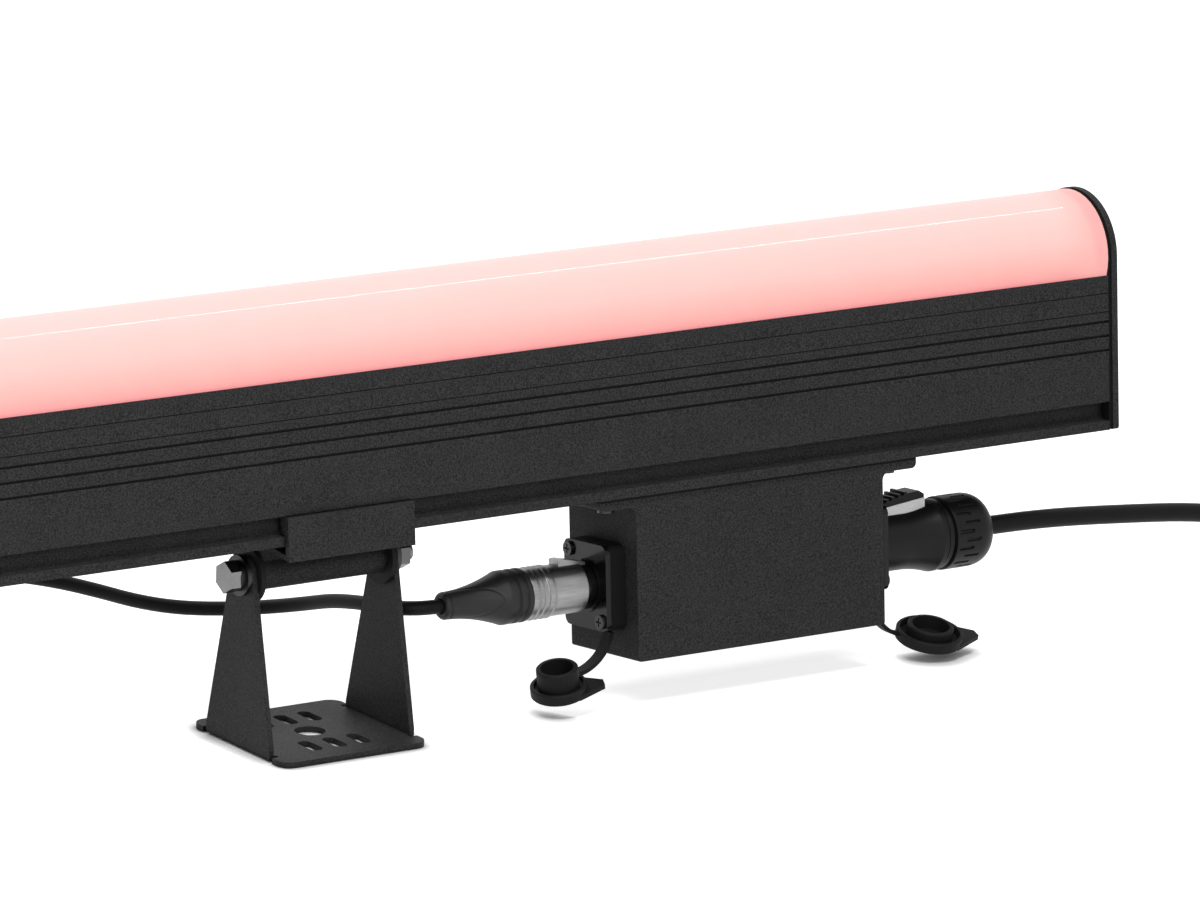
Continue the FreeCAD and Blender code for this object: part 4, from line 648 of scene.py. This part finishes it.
def lamp(name, place, aim, size, power):
    """A soft box at place that faces aim. Its first side lies along X, as nearly as it can."""
    light = bpy.data.lights.new(name, "AREA")
    light.shape = "RECTANGLE"
    light.size, light.size_y = size
    light.energy = power
    piece = bpy.data.objects.new(name, light)
    back = (Vector(place) - Vector(aim)).normalized()
    rise = back.cross(Vector((1, 0, 0))).normalized()
    turn = Matrix((rise.cross(back), rise, back)).transposed().to_4x4()
    piece.matrix_world = Matrix.Translation(place) @ turn
    piece.visible_camera = False
    scene.collection.objects.link(piece)


def set_world():
    """White to look at and in reflections, and a low even light for the rest."""
    world = bpy.data.worlds.new("studio")
    world.use_nodes = True
    scene.world = world
    nodes = Nodes(world.node_tree)
    path = nodes.node("ShaderNodeLightPath")
    seen = Level(nodes, path.outputs["Is Camera Ray"])
    for ray in ("Is Glossy Ray", "Is Transmission Ray"):
        seen = seen.top(Level(nodes, path.outputs[ray]))
    background = world.node_tree.nodes["Background"]
    nodes.feed(background.inputs["Color"], nodes.mix(grey(0.13), grey(1.0), seen))
    background.inputs["Strength"].default_value = 1.0


FLOOR_HALF = 12
FLOOR_DROP = 0.0003


def set_floor():
    """A pale floor that looks white in the open and keeps the shadow, with painted shade that dims its glow
    in slots and close under the pieces.
    """
    mesh = bpy.data.meshes.new("floor")
    corners = [(x * FLOOR_HALF, y * FLOOR_HALF, 0) for x, y in ((-1, -1), (1, -1), (1, 1), (-1, 1))]
    mesh.from_pydata(corners, [], [(0, 1, 2, 3)])
    floor = bpy.data.objects.new("floor", mesh)
    floor.location.z = -FLOOR_DROP
    scene.collection.objects.link(floor)
    finish = Finish("floor_paint", 0.9, 0.0, 0.0)
    finish.set("Base Color", grey(0.8))
    path = finish.node("ShaderNodeLightPath")
    seen = Level(finish, path.outputs["Is Camera Ray"]).top(Level(finish, path.outputs["Is Glossy Ray"]))
    distance = finish.node("ShaderNodeVectorMath", {"operation": "LENGTH"}, {0: finish.place()})
    away = Level(finish, distance.outputs["Value"])
    # Painted shade: the floor's glow falls off where open_air is low, in slots and under pieces that lie
    # close on it.
    strength = finish.open_air(0.007) ** 5 * 0.72 + away.ramp(1.2, 3.0) * 0.3
    lit = finish.node("ShaderNodeEmission", None, {"Color": grey(1.0), "Strength": strength})
    both = finish.node("ShaderNodeAddShader", None, {0: finish.shader.outputs[0], 1: lit.outputs[0]})
    shaders = {0: seen, 1: finish.shader.outputs[0], 2: both.outputs[0]}
    chosen = finish.node("ShaderNodeMixShader", None, shaders)
    output = finish.tree.nodes["Material Output"]
    finish.tree.links.new(chosen.outputs[0], output.inputs["Surface"])
    mesh.materials.append(finish.material)


def set_lights():
    """A soft key in front, one high in front, a weak one behind, and a strip for the dome's line of light."""
    lamp("key", (-0.30, -1.35, 0.70), (0.05, 0, 0.1), (1.1, 0.6), 8)
    lamp("top", (-0.05, -0.75, 1.75), (0.05, 0, 0.1), (1.5, 0.35), 18)
    lamp("back", (0.2, 1.3, 1.5), (0.1, 0, 0.1), (1.6, 0.8), 14)
    lamp("strip", (1.38, 0.46, 2.1), (0.2, 0, 0.15), (0.98, 0.035), 5)
    scene.view_settings.view_transform = "Standard"


# ---------------------------------------------------------------- the scene

set_camera()
paint_frame()

data_boot = boot("data_boot", on_axis(216.2), 1, "lamp")
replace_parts(data_boot, "data_plug_boot")
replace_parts(plug_shell(), "data_plug_shell")
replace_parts(cable_nut(), "power_plug_nut")
far_boot = boot("far_boot", (-82, 91.05, 9.6), -1, "lamp")
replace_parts(far_boot, "far_plug_boot")

data_lead = lead("data_lead", DATA_ROUTE + DATA_COIL + DATA_END, DATA_RADIUS, "lamp")
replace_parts(data_lead, "data_cable", "data_cable_coil")
[c * MM for c in DATA_ROUTE[0]]
power_lead = lead("power_lead", POWER_ROUTE + POWER_COIL + POWER_END, POWER_RADIUS, "power_lead")
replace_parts(power_lead, "power_cable", "power_cable_coil")
[c * MM for c in POWER_ROUTE[0]]

set_world()
set_floor()
set_lights()
